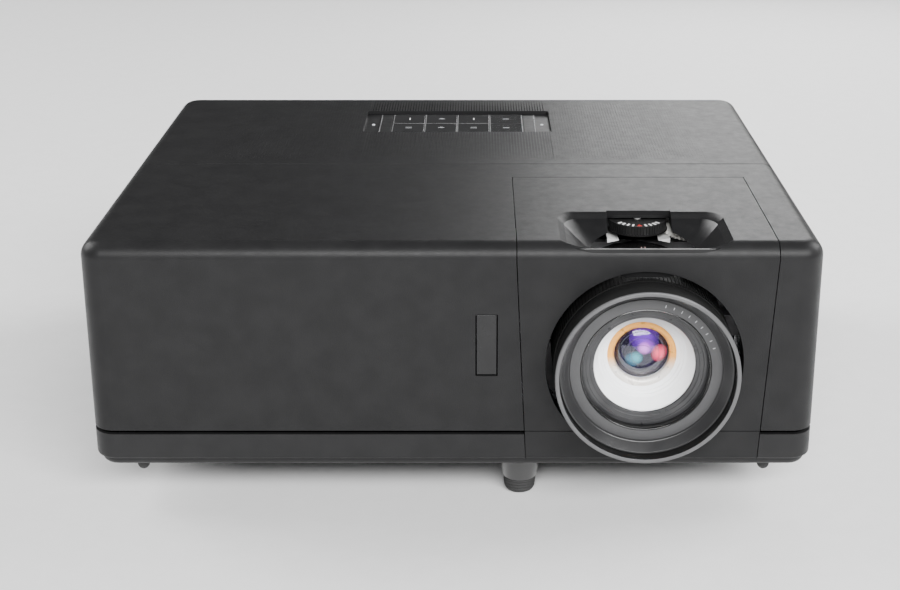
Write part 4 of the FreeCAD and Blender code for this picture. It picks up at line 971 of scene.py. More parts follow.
@dataclass
class LensCover:
    """Front right cover with the lens opening and the scooped recess over it."""

    casing: Casing
    opening: float = 50.45 * MM
    collar_wall: float = 2.0 * MM
    collar_depth: float = 8.0 * MM
    recess_x: Span = (53.0 * MM, 142.4 * MM)
    recess_depths: Span = (2.2 * MM, 54.8 * MM)
    drop: float = 16.0 * MM
    side_slope: float = 1.44
    back_slope: float = 1.8
    wall: float = 1.8 * MM
    tunnel: float = 59.5 * MM
    bay_half: float = 16.9 * MM
    bay_start: float = 16.2 * MM
    bay_floor: float = 16.0 * MM    # this and the next are depths below the top
    dial_top: float = 4.0 * MM
    groove: float = 0.5 * MM

    def scoop(self, grow: float) -> bpy.types.Object:
        """Scooped recess as a solid, wide at the top and narrowing downwards.

        Args:
            grow: how far it is grown all round.

        Returns:
            The solid.
        """
        d = self.casing.datum
        x0, x1 = self.recess_x[0] - grow, self.recess_x[1] + grow
        y0, y1 = d.y(self.recess_depths[0] - grow), d.y(self.recess_depths[1] + grow)
        low = d.top - self.drop - grow
        piece = block("recess_liner", (x0, x1), (y0, y1), (low, d.top + 1 * MM))
        side, back = self.drop * self.side_slope, self.drop * self.back_slope
        moves = ((lambda p: p.x < x0 + WELD, (side, 0, 0)), (lambda p: p.x > x1 - WELD, (-side, 0, 0)),
                 (lambda p: p.y < y0 + WELD, (0, 2 * MM, 0)), (lambda p: p.y > y1 - WELD, (0, -back, 0)))
        for test, move in moves:
            edit(piece, "VERT", lambda p, test=test: p.z < low + WELD and test(p))
            bpy.ops.transform.translate(value=move)
        round_edges(piece, lambda a, b: abs(a.z - b.z) > self.drop / 2, 7.0 * MM + grow, 8)
        return piece

    def bay(self, grow: float, low: float, high: float) -> bpy.types.Object:
        """Upright-sided bay that the dial shows in, between two depths below the top."""
        d = self.casing.datum
        half = self.bay_half + grow
        return block("bay", (d.lens_x - half, d.lens_x + half),
                     (d.y(self.bay_start), d.y(self.recess_depths[1] + grow)), (d.top - low, d.top - high))

    def build(self) -> bpy.types.Object:
        """Builds the cover.

        Returns:
            The cover.
        """
        d = self.casing.datum
        shell = shape(self.casing.skin("lens_cover_shell"), Cut.KEEP,
                      self.casing.cover_prism(-self.casing.seam / 2))
        shape(shell, Cut.REMOVE, self.scoop(0), self.bay(0, 3.0 * MM, -5.0 * MM))
        line = block("line", (d.left, d.right), (d.front - 1 * MM, d.front + self.groove),
                     (d.skirt - self.casing.seam / 2, d.skirt + self.casing.seam / 2))
        shape(shell, Cut.REMOVE, line)
        low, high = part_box("lens_cover")
        ceiling = block("ceiling", (low.x, high.x), (low.y + 1 * MM, high.y),
                        (low.z, d.top - self.casing.wall))
        tunnel = drum("tunnel", (d.lens_x, d.y(38.0 * MM), d.lens_z), self.tunnel, 71.0 * MM, Axis.Y, 160)
        behind = block("behind_bay", (d.lens_x - self.bay_half, d.lens_x + self.bay_half),
                       (d.y(self.recess_depths[1] - 1 * MM), d.y(self.recess_depths[1] + 5 * MM)),
                       (d.top - self.bay_floor - 1 * MM, d.top - self.dial_top))
        liner = shape(self.scoop(self.wall), Cut.ADD, self.bay(self.wall, self.bay_floor, 1.0 * MM))
        shape(liner, Cut.KEEP, ceiling)
        shape(liner, Cut.REMOVE, tunnel, self.bay(0, 30.0 * MM, -5.0 * MM), self.scoop(0), behind)
        # The liner's finish paints the recess darker than the case, as shade.
        install(ease(liner, 0.15 * MM), SCOOP_SHADE_BLACK, "casing", "case_black")
        mouth = drum("mouth", d.lens, self.opening, 17.0 * MM, Axis.Y, 160)
        shape(shell, Cut.REMOVE, mouth)
        collar = lathe("collar", [(self.opening, 0.5 * MM), (self.opening + self.collar_wall, 0.5 * MM),
                                  (self.opening + self.collar_wall, self.collar_depth),
                                  (self.opening, self.collar_depth)],
                       d.lens, sides=160, corner=0)
        shape(collar, Cut.KEEP, block("between", (low.x, high.x), (d.y(0), d.y(20 * MM)),
                                      (d.z(6 * MM), d.top - 2 * MM)))
        ease(shell, self.casing.edge)
        install(collar, PANEL_BLACK, "casing", "case_black")
        return install(shell, CASE_BLACK, "casing", "case_black", "lens_cover")


# ---- keypad --------------------------------------------------------------------------------------
@dataclass
class Keypad:
    """Eight buttons in a raised web, with a bar and a light at each end."""

    datum: Datum
    crown: float = 0.35 * MM
    mark_height: float = 0.06 * MM
    dish: float = 0.25 * MM
    ridge: float = 0.32 * MM
    end_bar: float = 8.1 * MM
    columns: tuple[tuple[str, str], ...] = (("button_power", "button_menu"), ("button_up", "button_down"),
                                            ("button_source", "button_info"),
                                            ("button_aspect", "button_enter"))

    def key(self, node: str, dished: bool) -> bpy.types.Object:
        """Button cap with an eased rim, and a shallow dish in the last column.

        Args:
            node: CAD node of the button.
            dished: whether its top is hollowed.

        Returns:
            The button.
        """
        low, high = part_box(node)
        inset = 0.38 * MM
        cap = block(node + "_cap", (low.x + inset, high.x - inset), (low.y + inset, high.y - inset),
                    (high.z - 3.2 * MM, high.z))
        edit(cap, "FACE", lambda middle, normal: normal.z > 0.5)
        bpy.ops.mesh.inset(thickness=1.1 * MM)
        bpy.ops.transform.translate(value=(0, 0, -self.dish if dished else -0.04 * MM))
        deselect()
        ease(cap, self.crown, 3, 20)
        return install(cap, KEY_BLACK, node, "key_black", node)

    def marks(self, node: str, spans: Sequence[tuple[Span, Span]], finish: Finish) -> None:
        """Prints small plain bars on a button.

        Args:
            node: CAD node of the button.
            spans: each bar's x and y, from the button's middle.
            finish: finish of the print.
        """
        low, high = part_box(node)
        middle = (low + high) / 2
        bars = []
        for x, y in spans:
            bar = block("bar", (middle.x + x[0], middle.x + x[1]), (middle.y + y[0], middle.y + y[1]),
                        (high.z - 0.08 * MM, high.z - 0.08 * MM + self.mark_height))
            bars.append(ease(bar, 0.02 * MM))
        install_row(node + "_mark", bars, finish, node, "key_black")

    def highlight_ridges(self) -> None:
        """Thin ridges between the buttons and at both ends, painted light grey as edge highlights."""
        first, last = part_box(self.columns[0][0]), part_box(self.columns[-1][1])
        low_y, high_y = last[0].y, first[1].y
        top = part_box("keypad_panel")[1].z
        half = self.ridge / 2
        edges = [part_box(column[0])[0].x for column in self.columns] + [last[1].x]
        pitch = edges[1] - edges[0]
        places = [edges[0] - self.end_bar, *edges, edges[-1] + self.end_bar]
        start = block("ridge", (places[0] - half, places[0] + half), (low_y, high_y),
                      (top - 0.6 * MM, top + 0.02 * MM))
        ease(start, 0.06 * MM)
        upright_row = row(start, [(x - places[0], 0, 0) for x in places[1:]], "column_ridges")
        middle = (low_y + high_y) / 2
        across = block("row_ridge", (edges[0], edges[-1] - pitch), (middle - half, middle + half),
                       (top - 0.6 * MM, top + 0.02 * MM))
        # The ridges' light grey finish is a painted highlight.
        install_row("web_ridges", [upright_row, ease(across, 0.06 * MM)], WEB_HIGHLIGHT, "casing", "keypad_black")

    def build(self) -> None:
        """Builds the web, the buttons, their marks and the lights."""
        recut("keypad_panel", "keypad_web", 0.12 * MM, WEB_BLACK, "keypad_black")
        self.highlight_ridges()
        for index, column in enumerate(self.columns):
            for node in column:
                self.key(node, index == len(self.columns) - 1)
        m = MM
        upright_bar = ((-0.35 * m, 0.35 * m), (-2.2 * m, 2.2 * m))
        level_bar = ((-2.0 * m, 2.0 * m), (-0.3 * m, 0.3 * m))
        for node in ("button_power", "button_source"):
            self.marks(node, [upright_bar], MARK_WHITE)
        for node in ("button_up", "button_down"):
            self.marks(node, [level_bar, ((-1.0 * m, 1.0 * m), (0.9 * m, 1.4 * m))], MARK_GREY)
        for node in ("button_menu", "button_info"):
            self.marks(node, [((-2 * m, 2 * m), (-1.2 * m, -0.8 * m)), ((-2 * m, 2 * m),
                                                                        (0.8 * m, 1.2 * m))], MARK_GREY)
        for node in ("button_aspect", "button_enter"):
            self.marks(node, [level_bar], MARK_GREY)
        low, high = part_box("status_lights")
        lights = []
        for x in (low.x + 1 * m, high.x - 1 * m):
            light = drum("light", (x, (low.y + high.y) / 2, high.z - 3 * m), 1.0 * m, 6 * m, Axis.Z, 32)
            lights.append(ease(light, 0.3 * m, 3))
        install_row("light_pipes", lights, LIGHT_PIPE, "casing", "light_pipe", "status_lights")


# ---- lens ----------------------------------------------------------------------------------------
@dataclass
class Lens:
    """Focus ring, front cell, bright funnel, glasses and zoom ring. Depths run back from the front face."""

    datum: Datum
    ring: float = 46.5 * MM
    bore: float = 44.2 * MM
    inner: float = 14.0 * MM
    knurls: int = 140
    # Orange painted on the upper part of the funnel's foot ring as a reflection.
    amber_reflection: Colour = (0.75, 0.33, 0.05)

    def turned(self, name: str, outline: Outline, corner: float = 0.12 * MM,
               sides: int = 160) -> bpy.types.Object:
        """Piece turned about the lens axis from an outline in millimetres."""
        return lathe(name, [(r * MM, y * MM) for r, y in outline], self.datum.lens, Axis.Y, sides, corner)

    def grip(self, name: str, radius: float, depths: Span, body: str) -> bpy.types.Object:
        """Band of fine ribs round a ring.

        Args:
            name: name of the band.
            radius: radius over the ribs.
            depths: its front and its back.
            body: body that it turns with.

        Returns:
            The band.
        """
        x, _, z = self.datum.lens
        centre = (x, self.datum.y(sum(depths) / 2), z)
        band = ribbed_drum(name, centre, radius, depths[1] - depths[0], Axis.Y, self.knurls, 0.45 * MM, 4)
        shape(band, Cut.REMOVE, drum("bore", centre, self.bore + 0.6 * MM, 2 * (depths[1] - depths[0]),
                                     Axis.Y, 160))
        return install(smooth(band, 25), GRIP_BLACK, body, "ring_black")

    def focus(self) -> None:
        """Focus ring: plain black front, thin satin rim and the ribbed grip."""
        tube = self.turned("focus_barrel", [(44.2, -18.2), (45.0, -18.2), (46.35, -17.4), (46.35, -2.9),
                                            (45.6, -2.6),
                                            (45.6, 26), (44.2, 26)])
        install(tube, GRIP_BLACK, "focus_ring", "ring_black", "focus_ring")
        rim = self.turned("focus_rim", [(44.25, -17.9), (44.35, -18.4), (44.9, -18.5), (45.9, -18.5),
                                        (46.4, -18.1),
                                        (46.5, -17.5), (46.3, -17.0), (45.0, -17.0)], 0.1 * MM)
        install(rim, RIM_GREY, "focus_ring", "ring_black")
        self.grip("focus_grip", self.ring, (-2.0 * MM, 25.0 * MM), "focus_ring")

    def cell(self) -> None:
        """Front cell: cone, name ring with plain ticks, black wall and grey steps."""
        cone = self.turned("front_cone", [(43.85, -12.8), (43.85, 8), (40.5, 8), (40.5, 28), (38.6, 28),
                                          (38.6, -7.1),
                                          (38.95, -7.1), (39.1, -7.9), (39.5, -8.1), (43.0, -12.7)], 0.1 * MM)
        install(cone, CONE_GREY, "front_group", "cell_grey", "front_lens_cell")
        ring = self.turned("name_ring", [(38.5, 27), (38.0, 27), (38.0, 3.3), (33.15, 3.3), (33.15, -7.0),
                                         (33.3, -7.55), (38.4, -7.55), (38.5, -7.4)], 0.06 * MM)
        install(ring, NAME_GREY, "front_group", "cell_grey")
        wall = self.turned("front_wall", [(33.1, -7.3), (33.1, 0), (32.4, 0), (32.4, -7.2), (32.7, -7.5)],
                           0.08 * MM)
        install(wall, WALL_BLACK, "front_group", "cell_grey")
        steps = self.turned("front_steps", [(32.6, -2.4), (32.6, 0.5), (27.7, 0.5), (27.6, -0.2),
                                            (25.8, -0.2),
                                            (26.2, -1.2), (27.8, -1.5), (28.0, -1.9), (29.9, -2.1),
                                            (30.1, -2.6)], 0.08 * MM)
        install(steps, WALL_SATIN, "front_group", "cell_grey")
        ticks = []
        x, y, z = self.datum.lens
        start = block("tick", (x - 0.16 * MM, x + 0.16 * MM), (y - 7.62 * MM, y - 7.5 * MM),
                      (z + 35.2 * MM, z + 36.6 * MM))
        ease(start, 0.03 * MM)
        for i in range(9):
            turn = Matrix.Translation((x, y, z)) @ Matrix.Rotation(math.radians(14 + 7 * i), 4, "Y") \
                @ Matrix.Translation((-x, -y, -z))
            ticks.append(moved_copy(start, turn))
        bpy.data.objects.remove(start)
        install_row("name_ring_ticks", ticks, MARK_GREY, "front_group", "cell_grey")

    def funnel(self) -> None:
        """Bright stepped funnel, greyer towards the top in painted shade, with a ring round its foot that is
        painted orange above as a reflection.
        """
        z = self.datum.lens_z
        # The funnel is white below and painted greyer towards the top as shade.
        white = GradedFinish("funnel_white", (0.88, 0.88, 0.87), (0.82, 0.82, 0.81), 0.42, Grain.TURNED,
                             0.5 * MM,
                             0.004 * MM, above=(0.50, 0.49, 0.47), low=z + 8 * MM, high=z + 24 * MM)
        g = self.inner / MM
        funnel = self.turned("bright_funnel", [(37.9, 3.4), (37.9, 26), (g + 0.1, 26), (g + 0.1, 15.6),
                                               (g + 3.2, 14.4),
                                               (g + 3.4, 13.9), (g + 5.6, 13.2), (g + 5.8, 12.3),
                                               (g + 7.0, 11.8),
                                               (g + 7.2, 11.0), (g + 8.5, 10.5), (26.4, 3.4)], 0.12 * MM)
        install(funnel, white, "front_group", "baffle_silver", "lens_baffle")
        # The foot ring's upper part is painted orange as a reflection, whitish below.
        amber_reflection = GradedFinish("amber_ring", (0.80, 0.76, 0.70), (0.76, 0.70, 0.62), 0.30, Grain.TURNED,
                             0.4 * MM,
                             0.004 * MM, metallic=0.35, above=self.amber_reflection, low=z - 9 * MM, high=z - 1 * MM)
        ring = self.turned("amber_ring", [(g - 0.1, 16.4), (g + 0.1, 14.6), (g + 0.9, 13.6),
                                          (g + 2.2, 13.2), (g + 3.5, 13.5),
                                          (g + 4.0, 14.4), (g + 3.0, 16.0)], 0.3 * MM)
        install(ring, amber_reflection, "front_group", "baffle_silver")

    def dome(self, name: str, depths: Span, radius: float, rise: float) -> bpy.types.Object:
        """Round glass, flat behind and domed in front, from an arc spun about the lens axis.

        Args:
            name: name of the glass.
            depths: depth of the crown and of the back, in millimetres.
            radius: its radius in millimetres.
            rise: height of the dome in millimetres.

        Returns:
            The glass.
        """
        ball = (radius ** 2 + rise ** 2) / (2 * rise)
        arc = [radius * i / 16 for i in range(17)]
        crown = [(r, depths[0] + ball - math.sqrt(ball ** 2 - r ** 2)) for r in arc]
        glass = self.turned(name, [*crown, (radius, depths[1]), (0, depths[1])], 0, 128)
        return smooth(glass, 40)

    def glasses(self) -> None:
        """Front lens and the dark coated lens behind it, with glints and reflections painted on it."""
        clear = ClearGlass("clear_glass", (0.97, 0.98, 1.0), (0.96, 0.97, 1.0), 0.02, grain_height=0.0,
                           spread=0.01,
                           coat=0.0, specular=0.5)
        install(self.dome("front_glass", (-2.7, 3.2), 27.5, 3.0), clear, "front_group", "front_glass",
                "front_lens")
        x, y, z = self.datum.lens
        m = MM
        # The coated lens's purple, pink, teal and red patches are painted reflections, lit faintly by
        # emission.
        coating = GlintPaintedFinish(
            "coated_glass", (0.004, 0.003, 0.012), (0.006, 0.004, 0.018), 0.04, grain_height=0.0,
            spread=0.01, coat=1.0,
            coat_roughness=0.02, centre=(x, y + 15 * m, z), glint_glow=0.12,
            painted_glints=(((1.0 * m, 0, 9.0 * m), 8.5 * m, (0.10, 0.02, 0.30)), ((2.5 * m, 0, 4.2 * m), 4.6 * m,
                                                                          (0.22, 0.04, 0.34)),
                   ((0.8 * m, 0, 3.4 * m), 4.2 * m, (0.80, 0.22, 0.85)),
                   ((-4.5 * m, 0, -2.5 * m), 5.0 * m, (0.02, 0.12, 0.18)),
                   ((-2.6 * m, 0, -1.2 * m), 4.4 * m, (0.06, 0.40, 0.46)),
                   ((8.6 * m, 0, 0.5 * m), 5.0 * m, (0.80, 0.05, 0.12))))
        install(self.dome("inner_glass", (12.2, 22), 13.9, 4.6), coating, "front_group", "coated_glass",
                "inner_lens")
        rings = [self.turned("ring", [(r, d), (r + 0.22, d + 0.02), (r + 0.22, d + 0.2), (r, d + 0.2)],
                             0.03 * MM)
                 for r, d in ((5.2, 12.75), (8.6, 13.8), (11.6, 15.15))]
        install_row("inner_glass_rings", rings, WALL_SATIN, "front_group", "coated_glass")

    def zoom(self) -> None:
        """Zoom ring with its lever and the light mark on it."""
        tube = self.turned("zoom_barrel", [(44.2, 29), (45.5, 29), (45.5, 56), (44.2, 56)])
        install(tube, GRIP_BLACK, "zoom_ring", "ring_black", "zoom_ring")
        self.grip("zoom_grip", 46.1 * MM, (39.0 * MM, 55.0 * MM), "zoom_ring")
        x, y, z = self.datum.lens
        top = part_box("zoom_ring")[1].z
        lever = block("zoom_lever", (x - 0.2 * MM, x + 2.8 * MM), (y + 30.5 * MM, y + 38 * MM),
                      (z + 44.8 * MM, top))
        edit(lever, "FACE", lambda middle, normal: normal.z > 0.5)
        bpy.ops.transform.resize(value=(0.8, 0.85, 1), center_override=(x + 1.3 * MM, y + 34.5 * MM, top))
        deselect()
        install(ease(lever, 0.5 * MM, 3), GRIP_BLACK, "zoom_ring", "ring_black")
        mark = block("zoom_mark", (x + 0.1 * MM, x + 2.5 * MM), (y + 30.9 * MM, y + 37.0 * MM),
                     (top - 1.0 * MM, top - 0.02 * MM))
        install(ease(mark, 0.35 * MM, 3), MARK_PINK, "zoom_ring", "ring_black")

    def build(self) -> None:
        """Builds the whole lens."""
        self.focus()
        self.cell()
        self.funnel()
        self.glasses()
        self.zoom()


@dataclass
class ShiftDial:
    """Ribbed thumb wheel of the lens shift, with its scale."""

    datum: Datum
    ribs: int = 60
    tick_radius: float = 12.6 * MM
    tick_angles: tuple[float, ...] = (15.0, 27.0, 39.0, 51.0)

    def build(self) -> None:
        """Builds the dial with its hub, its white ticks, the red pointer and the pointer's bracket."""
        low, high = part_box("shift_dial")
        middle = (low + high) / 2
        radius = (high.x - low.x) / 2
        thick = 5.0 * MM
        wheel = ribbed_drum("dial_wheel", (middle.x, middle.y, high.z - thick / 2), radius, thick, Axis.Z,
                            self.ribs,
                            0.5 * MM)
        edit(wheel, "FACE", lambda place, normal: normal.z > 0.9)
        bpy.ops.mesh.inset(thickness=1.2 * MM)
        bpy.ops.transform.translate(value=(0, 0, -0.25 * MM))
        deselect()
        hub = drum("hub", (middle.x, middle.y, low.z + 1.5 * MM), 6 * MM, 3 * MM, Axis.Z, 48)
        install_row("shift_wheel", [smooth(wheel, 25), ease(hub, 0.3 * MM)], DIAL_BLACK, "shift_dial",
                    "dial_black",
                    "shift_dial")
        tick = block("tick", (middle.x - 0.5 * MM, middle.x + 0.5 * MM),
                     (middle.y - self.tick_radius - 1.3 * MM, middle.y - self.tick_radius + 1.3 * MM),
                     (high.z - 0.35 * MM, high.z - 0.1 * MM))
        ease(tick, 0.08 * MM)
        there, back = Matrix.Translation(middle), Matrix.Translation(-middle)
        ticks = [moved_copy(tick, there @ Matrix.Rotation(math.radians(sign * angle), 4, "Z") @ back)
                 for sign in (-1, 1) for angle in self.tick_angles]
        bpy.data.objects.remove(tick)
        install_row("dial_ticks", ticks, MARK_WHITE, "shift_dial", "dial_black")
        pointer = drum("dial_pointer", (middle.x, middle.y - self.tick_radius, high.z - 0.2 * MM),
                       1.5 * MM, 0.2 * MM, Axis.Z, 3)
        install(ease(pointer, 0.05 * MM), MARK_RED, "shift_dial", "dial_black")
        recut("dial_bracket", "pointer_bracket", 0.1 * MM, BRACKET_WHITE, "bracket_white")


# ---- windows, grilles and sockets ----------------------------------------------------------------
@dataclass
class Outlets:
    """Infrared window, side grilles and the connector panel with its sockets."""

    datum: Datum
    contact: float = 0.5 * MM
    board_height: float = 30.0 * MM
    video_x: tuple[float, ...] = (-62.0 * MM, -38.0 * MM)
    usb_x: float = 26.0 * MM
    network_x: float = 50.0 * MM
    analogue_x: float = -4.0 * MM
    serial_x: float = 84.0 * MM
    audio_x: Span = (-100.0 * MM, -86.0 * MM)

    def window(self) -> None:
        """Dark pane with eased edges and a shallow sunk face."""
        low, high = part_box("ir_window")
        rim = 2.5 * MM
        pane = block("ir_pane", (low.x + rim, high.x - rim), (low.y, high.y), (low.z + rim, high.z - rim))
        edit(pane, "FACE", lambda middle, normal: normal.y < -0.5)
        bpy.ops.mesh.inset(thickness=0.9 * MM)
        bpy.ops.transform.translate(value=(0, 0.15 * MM, 0))
        deselect()
        install(ease(pane, 0.35 * MM, 3), WINDOW_GREY, "casing", "window_grey", "ir_window")

    def contacts(self, name: str, x: float, z: float, count: int, pitch: float, finish: Finish,
                 slot: str) -> None:
        """Row of spring contacts inside a socket.

        Args:
            name: name of the row.
            x: middle of the row.
            z: height of the row.
            count: number of contacts.
            pitch: spacing.
            finish: finish of the contacts.
            slot: material slot.
        """
        y = self.datum.back - 6.5 * MM
        first = x - (count - 1) * pitch / 2
        pin = block("contact", (first - self.contact / 2, first + self.contact / 2), (y, y + 1.6 * MM),
                    (z - 0.12 * MM, z + 0.12 * MM))
        ease(pin, 0.04 * MM)
        install(row(pin, [(i * pitch, 0, 0) for i in range(1, count)], name), finish, "casing", slot)

    def build(self) -> None:
        """Builds the window, the panels, the sockets and the parts that show in them."""
        self.window()
        base = self.datum.z(self.board_height)
        recut("rear_panel", "connector_panel", 0.2 * MM, PANEL_BLACK, "panel_black")
        recut("side_grilles", "slotted_grilles", 0.25 * MM, PANEL_BLACK, "panel_black")
        recut("signal_ports", "port_shells", 0.12 * MM, PORT_METAL, "port_metal")
        recut("audio_jacks", "jack_bodies", 0.2 * MM, PORT_BLACK, "jack_black")
        recut("power_inlet", "inlet_body", 0.25 * MM, PORT_BLACK, "inlet_black")
        for index, x in enumerate(self.video_x):
            self.contacts(f"video_contacts_{index + 1}", x, base + 3.8 * MM, 9, 1.0 * MM,
                          CONTACT_GOLD, "port_metal")
        self.contacts("usb_contacts", self.usb_x, base + 4.0 * MM, 4, 2.2 * MM, CONTACT_GOLD, "port_metal")
        self.contacts("network_contacts", self.network_x, base + 9.6 * MM, 8, 1.02 * MM, CONTACT_GOLD,
                      "port_metal")
        for name, x, finish, rows in (("analogue", self.analogue_x, PORT_BLUE, (5, 5, 5)),
                                      ("serial", self.serial_x, PORT_BLACK, (5, 4))):
            self.d_face(name, x, base, finish, rows)
        for name, x, finish in (("audio_in", self.audio_x[0], PORT_BLUE), ("audio_out", self.audio_x[1],
                                                                           PORT_GREEN)):
            collar = lathe(name + "_collar", [(1.85 * MM, -2.4 * MM), (1.85 * MM, -0.5 * MM),
                                              (2.1 * MM, -0.25 * MM),
                                              (3.0 * MM, -0.25 * MM), (3.2 * MM, -0.6 * MM),
                                              (3.2 * MM, -2.4 * MM)],
                           (x, self.datum.back, base + 5 * MM), Axis.Y, 48, 0.05 * MM)
            install(collar, finish, "casing", "jack_black")
        low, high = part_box("power_inlet")
        middle = (low + high) / 2
        pins = []
        for dx, dz in ((-7, -2), (0, 2.5), (7, -2)):
            pin = block("pin", (middle.x + (dx - 1.05) * MM, middle.x + (dx + 1.05) * MM),
                        (self.datum.back - 18 * MM, self.datum.back - 5.2 * MM),
                        (middle.z + (dz - 2.05) * MM, middle.z + (dz + 2.05) * MM))
            pins.append(ease(pin, 0.3 * MM))
        install_row("inlet_pins", pins, PORT_METAL, "casing", "port_metal")

    def d_face(self, name: str, x: float, base: float, finish: Finish, rows: tuple[int, ...]) -> None:
        """Insulator of a D-shaped socket with its pin holes.

        Args:
            name: name of the socket.
            x: its middle.
            base: height of the board.
            finish: finish of the insulator.
            rows: holes in each row, from the top.
        """
        y = self.datum.back
        face = block(name + "_face", (x - 7.4 * MM, x + 7.4 * MM), (y - 0.5 * MM, y - 0.08 * MM),
                     (base + 3.2 * MM, base + 9.8 * MM))
        edit(face, "VERT", lambda p: p.z < base + 4 * MM)
        bpy.ops.transform.resize(value=(0.84, 1, 1), center_override=(x, y, base))
        deselect()
        ease(face, 0.12 * MM)
        holes = []
        for i, count in enumerate(rows):
            z = base + (8.6 - i * 4.2 / max(len(rows) - 1, 1)) * MM
            for j in range(count):
                holes.append(drum("hole", (x + (j - (count - 1) / 2) * 2.3 * MM, y, z), 0.5 * MM, 1 * MM,
                                  Axis.Y, 16))
        shape(face, Cut.REMOVE, merge("holes", holes))
        install(face, finish, "casing", "port_metal")


# ---- feet, screws and underside ------------------------------------------------------------------
@dataclass
class Feet:
    """Three screw feet, two fixed domes, the case screws and the mount threads."""

    datum: Datum
    names: tuple[str, ...] = ("front_foot", "left_rear_foot", "right_rear_foot")
    thread_pitch: float = 1.75 * MM

    def foot(self, name: str) -> None:
        """One foot: tapered gloss knob, threaded stem and ribbed rubber pad.

        Args:
            name: the foot's name.
        """
        low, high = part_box(name + "_pad")
        x, y = (low.x + high.x) / 2, (low.y + high.y) / 2
        pad_r = (high.x - low.x) / 2
        knob_low, screw_high = high.z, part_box(name + "_screw")[1].z
        knob_r = (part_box(name + "_screw")[1].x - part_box(name + "_screw")[0].x) / 2
        centre = (x, y, 0)
        m = MM
        top = 21 * m
        knob = lathe(name + "_knob", [(0, knob_low + 0.05 * m), (pad_r - 0.3 * m, knob_low + 0.05 * m),
                                      (pad_r + 0.25 * m, knob_low + 0.7 * m),
                                      (knob_r - 0.25 * m, top - 2.2 * m),
                                      (knob_r, top - 1.4 * m), (knob_r - 0.5 * m, top), (0, top)], centre,
                                      Axis.Z, 96, 0.3 * m)
        install(knob, FOOT_GLOSS, name + "_screw", "foot_black", name + "_screw")
        turns = int((screw_high - top) / self.thread_pitch)
        outline = [(0, top - 0.5 * m)]
        for i in range(turns):
            z = top + i * self.thread_pitch
            outline += [(3.3 * m, z), (3.9 * m, z + self.thread_pitch / 2)]
        outline += [(3.3 * m, screw_high - 0.4 * m), (2.9 * m, screw_high), (0, screw_high)]
        stem = lathe(name + "_thread", outline, centre, Axis.Z, 48, 0.08 * m)
        install(stem, SCREW_BLACK, name + "_screw", "foot_black")
        outline = [(0, low.z + 0.02 * m), (pad_r - 2.7 * m, low.z + 0.02 * m), (pad_r - 1.4 * m,
                                                                                low.z + 0.7 * m)]
        for share in (0.3, 0.52, 0.74):
            z = low.z + (high.z - low.z) * share
            outline += [(pad_r - 0.9 * m + share * m, z), (pad_r - 1.3 * m + share * m, z + 0.35 * m),
                        (pad_r - 1.3 * m + share * m, z + 0.75 * m),
                        (pad_r - 0.85 * m + share * m, z + 1.1 * m)]
        outline += [(pad_r, high.z - 0.5 * m), (pad_r - 0.3 * m, high.z - 0.02 * m), (0, high.z - 0.02 * m)]
        pad = lathe(name + "_rubber", outline, centre, Axis.Z, 96, 0.12 * m)
        install(pad, FOOT_RUBBER, name + "_pad", "foot_rubber", name + "_pad")

    def build(self) -> None:
        """Builds the feet and finishes the small parts underneath."""
        for name in self.names:
            self.foot(name)
        recut("stub_feet", "corner_domes", 0.0, FOOT_RUBBER, "foot_rubber")
        recut("case_screws", "cover_screws", 0.15 * MM, SCREW_BLACK, "screw_black")
        recut("threaded_inserts", "brass_inserts", 0.2 * MM, BRASS, "insert_brass")


# ---- what the casing holds -----------------------------------------------------------------------
@dataclass
class Interior:
    """Optics, light source, boards and fans: their CAD shapes with finishes of their own."""

    finishes: dict[str, Finish] = field(default_factory=lambda: {
        "keypad_board": BOARD, "lens_barrel": GRIP_BLACK, "zoom_group": OPTIC, "rear_lens": OPTIC,
        "lens_carriage": CAST_METAL, "lens_mount": PLATED_STEEL, "guide_rods": GROUND_ROD,
        "idler_gear": NATURAL_ACETAL, "shift_screw": GROUND_ROD, "light_engine": CAST_METAL,
        "relay_optics": OPTIC,
        "chip_board": BOARD, "laser_module": CAST_METAL, "heat_sink": FIN_METAL, "phosphor_wheel": PHOSPHOR,
        "colour_wheel": FILTER, "wheel_motors": PLATED_STEEL, "main_board": BOARD, "power_board": BOARD,
        "speaker": CONE_PAPER, "fan_frames": FAN_BLACK, "intake_fan_rotor": FAN_BLACK,
        "exhaust_fan_rotor": FAN_BLACK})

    def build(self) -> None:
        """Dresses every node that keeps its CAD shape."""
        for node, finish in self.finishes.items():
            dress(node, finish)


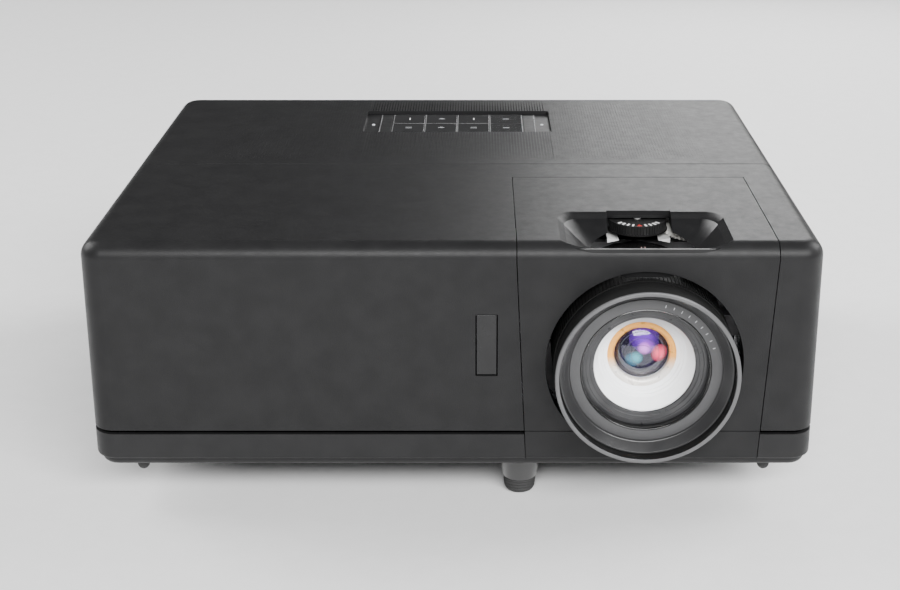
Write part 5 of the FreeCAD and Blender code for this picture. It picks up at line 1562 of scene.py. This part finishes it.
# ---- studio --------------------------------------------------------------------------------------
@dataclass
class Studio:
    """Pale floor, soft lamps and the camera."""

    eye: tuple[float, float, float] = (0.013, -0.85775, 0.401)
    pitch: float = 18.7
    focal_length: float = 61.36
    shift: tuple[float, float] = (-0.031, -0.08)
    sky: float = 0.10

    def floor(self) -> None:
        """Pale floor with a very fine mottle."""
        deselect()
        bpy.ops.mesh.primitive_grid_add(x_subdivisions=4, y_subdivisions=4, size=12, location=(0, 2, 0))
        ground = settle("studio_floor")
        pale = Finish("studio_pale", (0.93, 0.93, 0.93), (0.91, 0.91, 0.91), 0.6, grain_height=0.0)
        ground.data.materials.append(pale.material())

    def lamp(self, name: str, place: tuple[float, float, float], aim: tuple[float, float, float],
             size: tuple[float, float], power: float) -> None:
        """Rectangular soft lamp.

        Args:
            name: name of the lamp.
            place: where it hangs.
            aim: the point that it faces.
            size: its width and height.
            power: watts.
        """
        deselect()
        bpy.ops.object.light_add(type="AREA", location=place)
        lamp = bpy.context.object
        lamp.name = name
        lamp.data.shape = "RECTANGLE"
        lamp.data.size, lamp.data.size_y = size
        lamp.data.energy = power
        lamp.rotation_euler = (Vector(aim) - Vector(place)).to_track_quat("-Z", "Y").to_euler()

    def camera(self) -> None:
        """Camera in front of the lens side, a little above the top."""
        deselect()
        bpy.ops.object.camera_add(location=self.eye, rotation=(math.radians(90 - self.pitch), 0, 0))
        camera = bpy.context.object
        camera.data.lens = self.focal_length
        camera.data.sensor_width = 36
        camera.data.shift_x, camera.data.shift_y = self.shift
        bpy.context.scene.camera = camera

    def build(self) -> None:
        """Sets up the floor, the light and the camera."""
        self.floor()
        world = bpy.data.worlds.new("studio_sky")
        world.use_nodes = True
        world.node_tree.nodes["Background"].inputs["Color"].default_value = (1, 1, 1, 1)
        world.node_tree.nodes["Background"].inputs["Strength"].default_value = self.sky
        bpy.context.scene.world = world
        self.lamp("front_high", (0.7, -2.3, 1.75), (0.0, 0.0, 0.05), (3.2, 0.9), 190)
        self.lamp("left_side", (-2.4, 0.9, 1.6), (-0.6, 0.3, 0.0), (1.6, 1.6), 80)
        self.lamp("right_side", (2.4, 0.9, 1.6), (0.6, 0.3, 0.0), (1.6, 1.6), 80)
        self.lamp("rear_sheen", (0.42, 1.25, 0.62), (0.14, 0.05, 0.147), (0.6, 0.5), 6)
        self.camera()


def main() -> None:
    """Builds every sub-assembly in order."""
    logging.basicConfig(level=logging.INFO, format="%(message)s")
    datum = Datum.read()
    casing = Casing(datum)
    for part in (Studio(), casing, LensCover(casing), Keypad(datum), Lens(datum), ShiftDial(datum),
                 Outlets(datum),
                 Feet(datum), Interior()):
        LOG.info("-- %s", type(part).__name__)
        part.build()


if __name__ == "__main__":
    main()
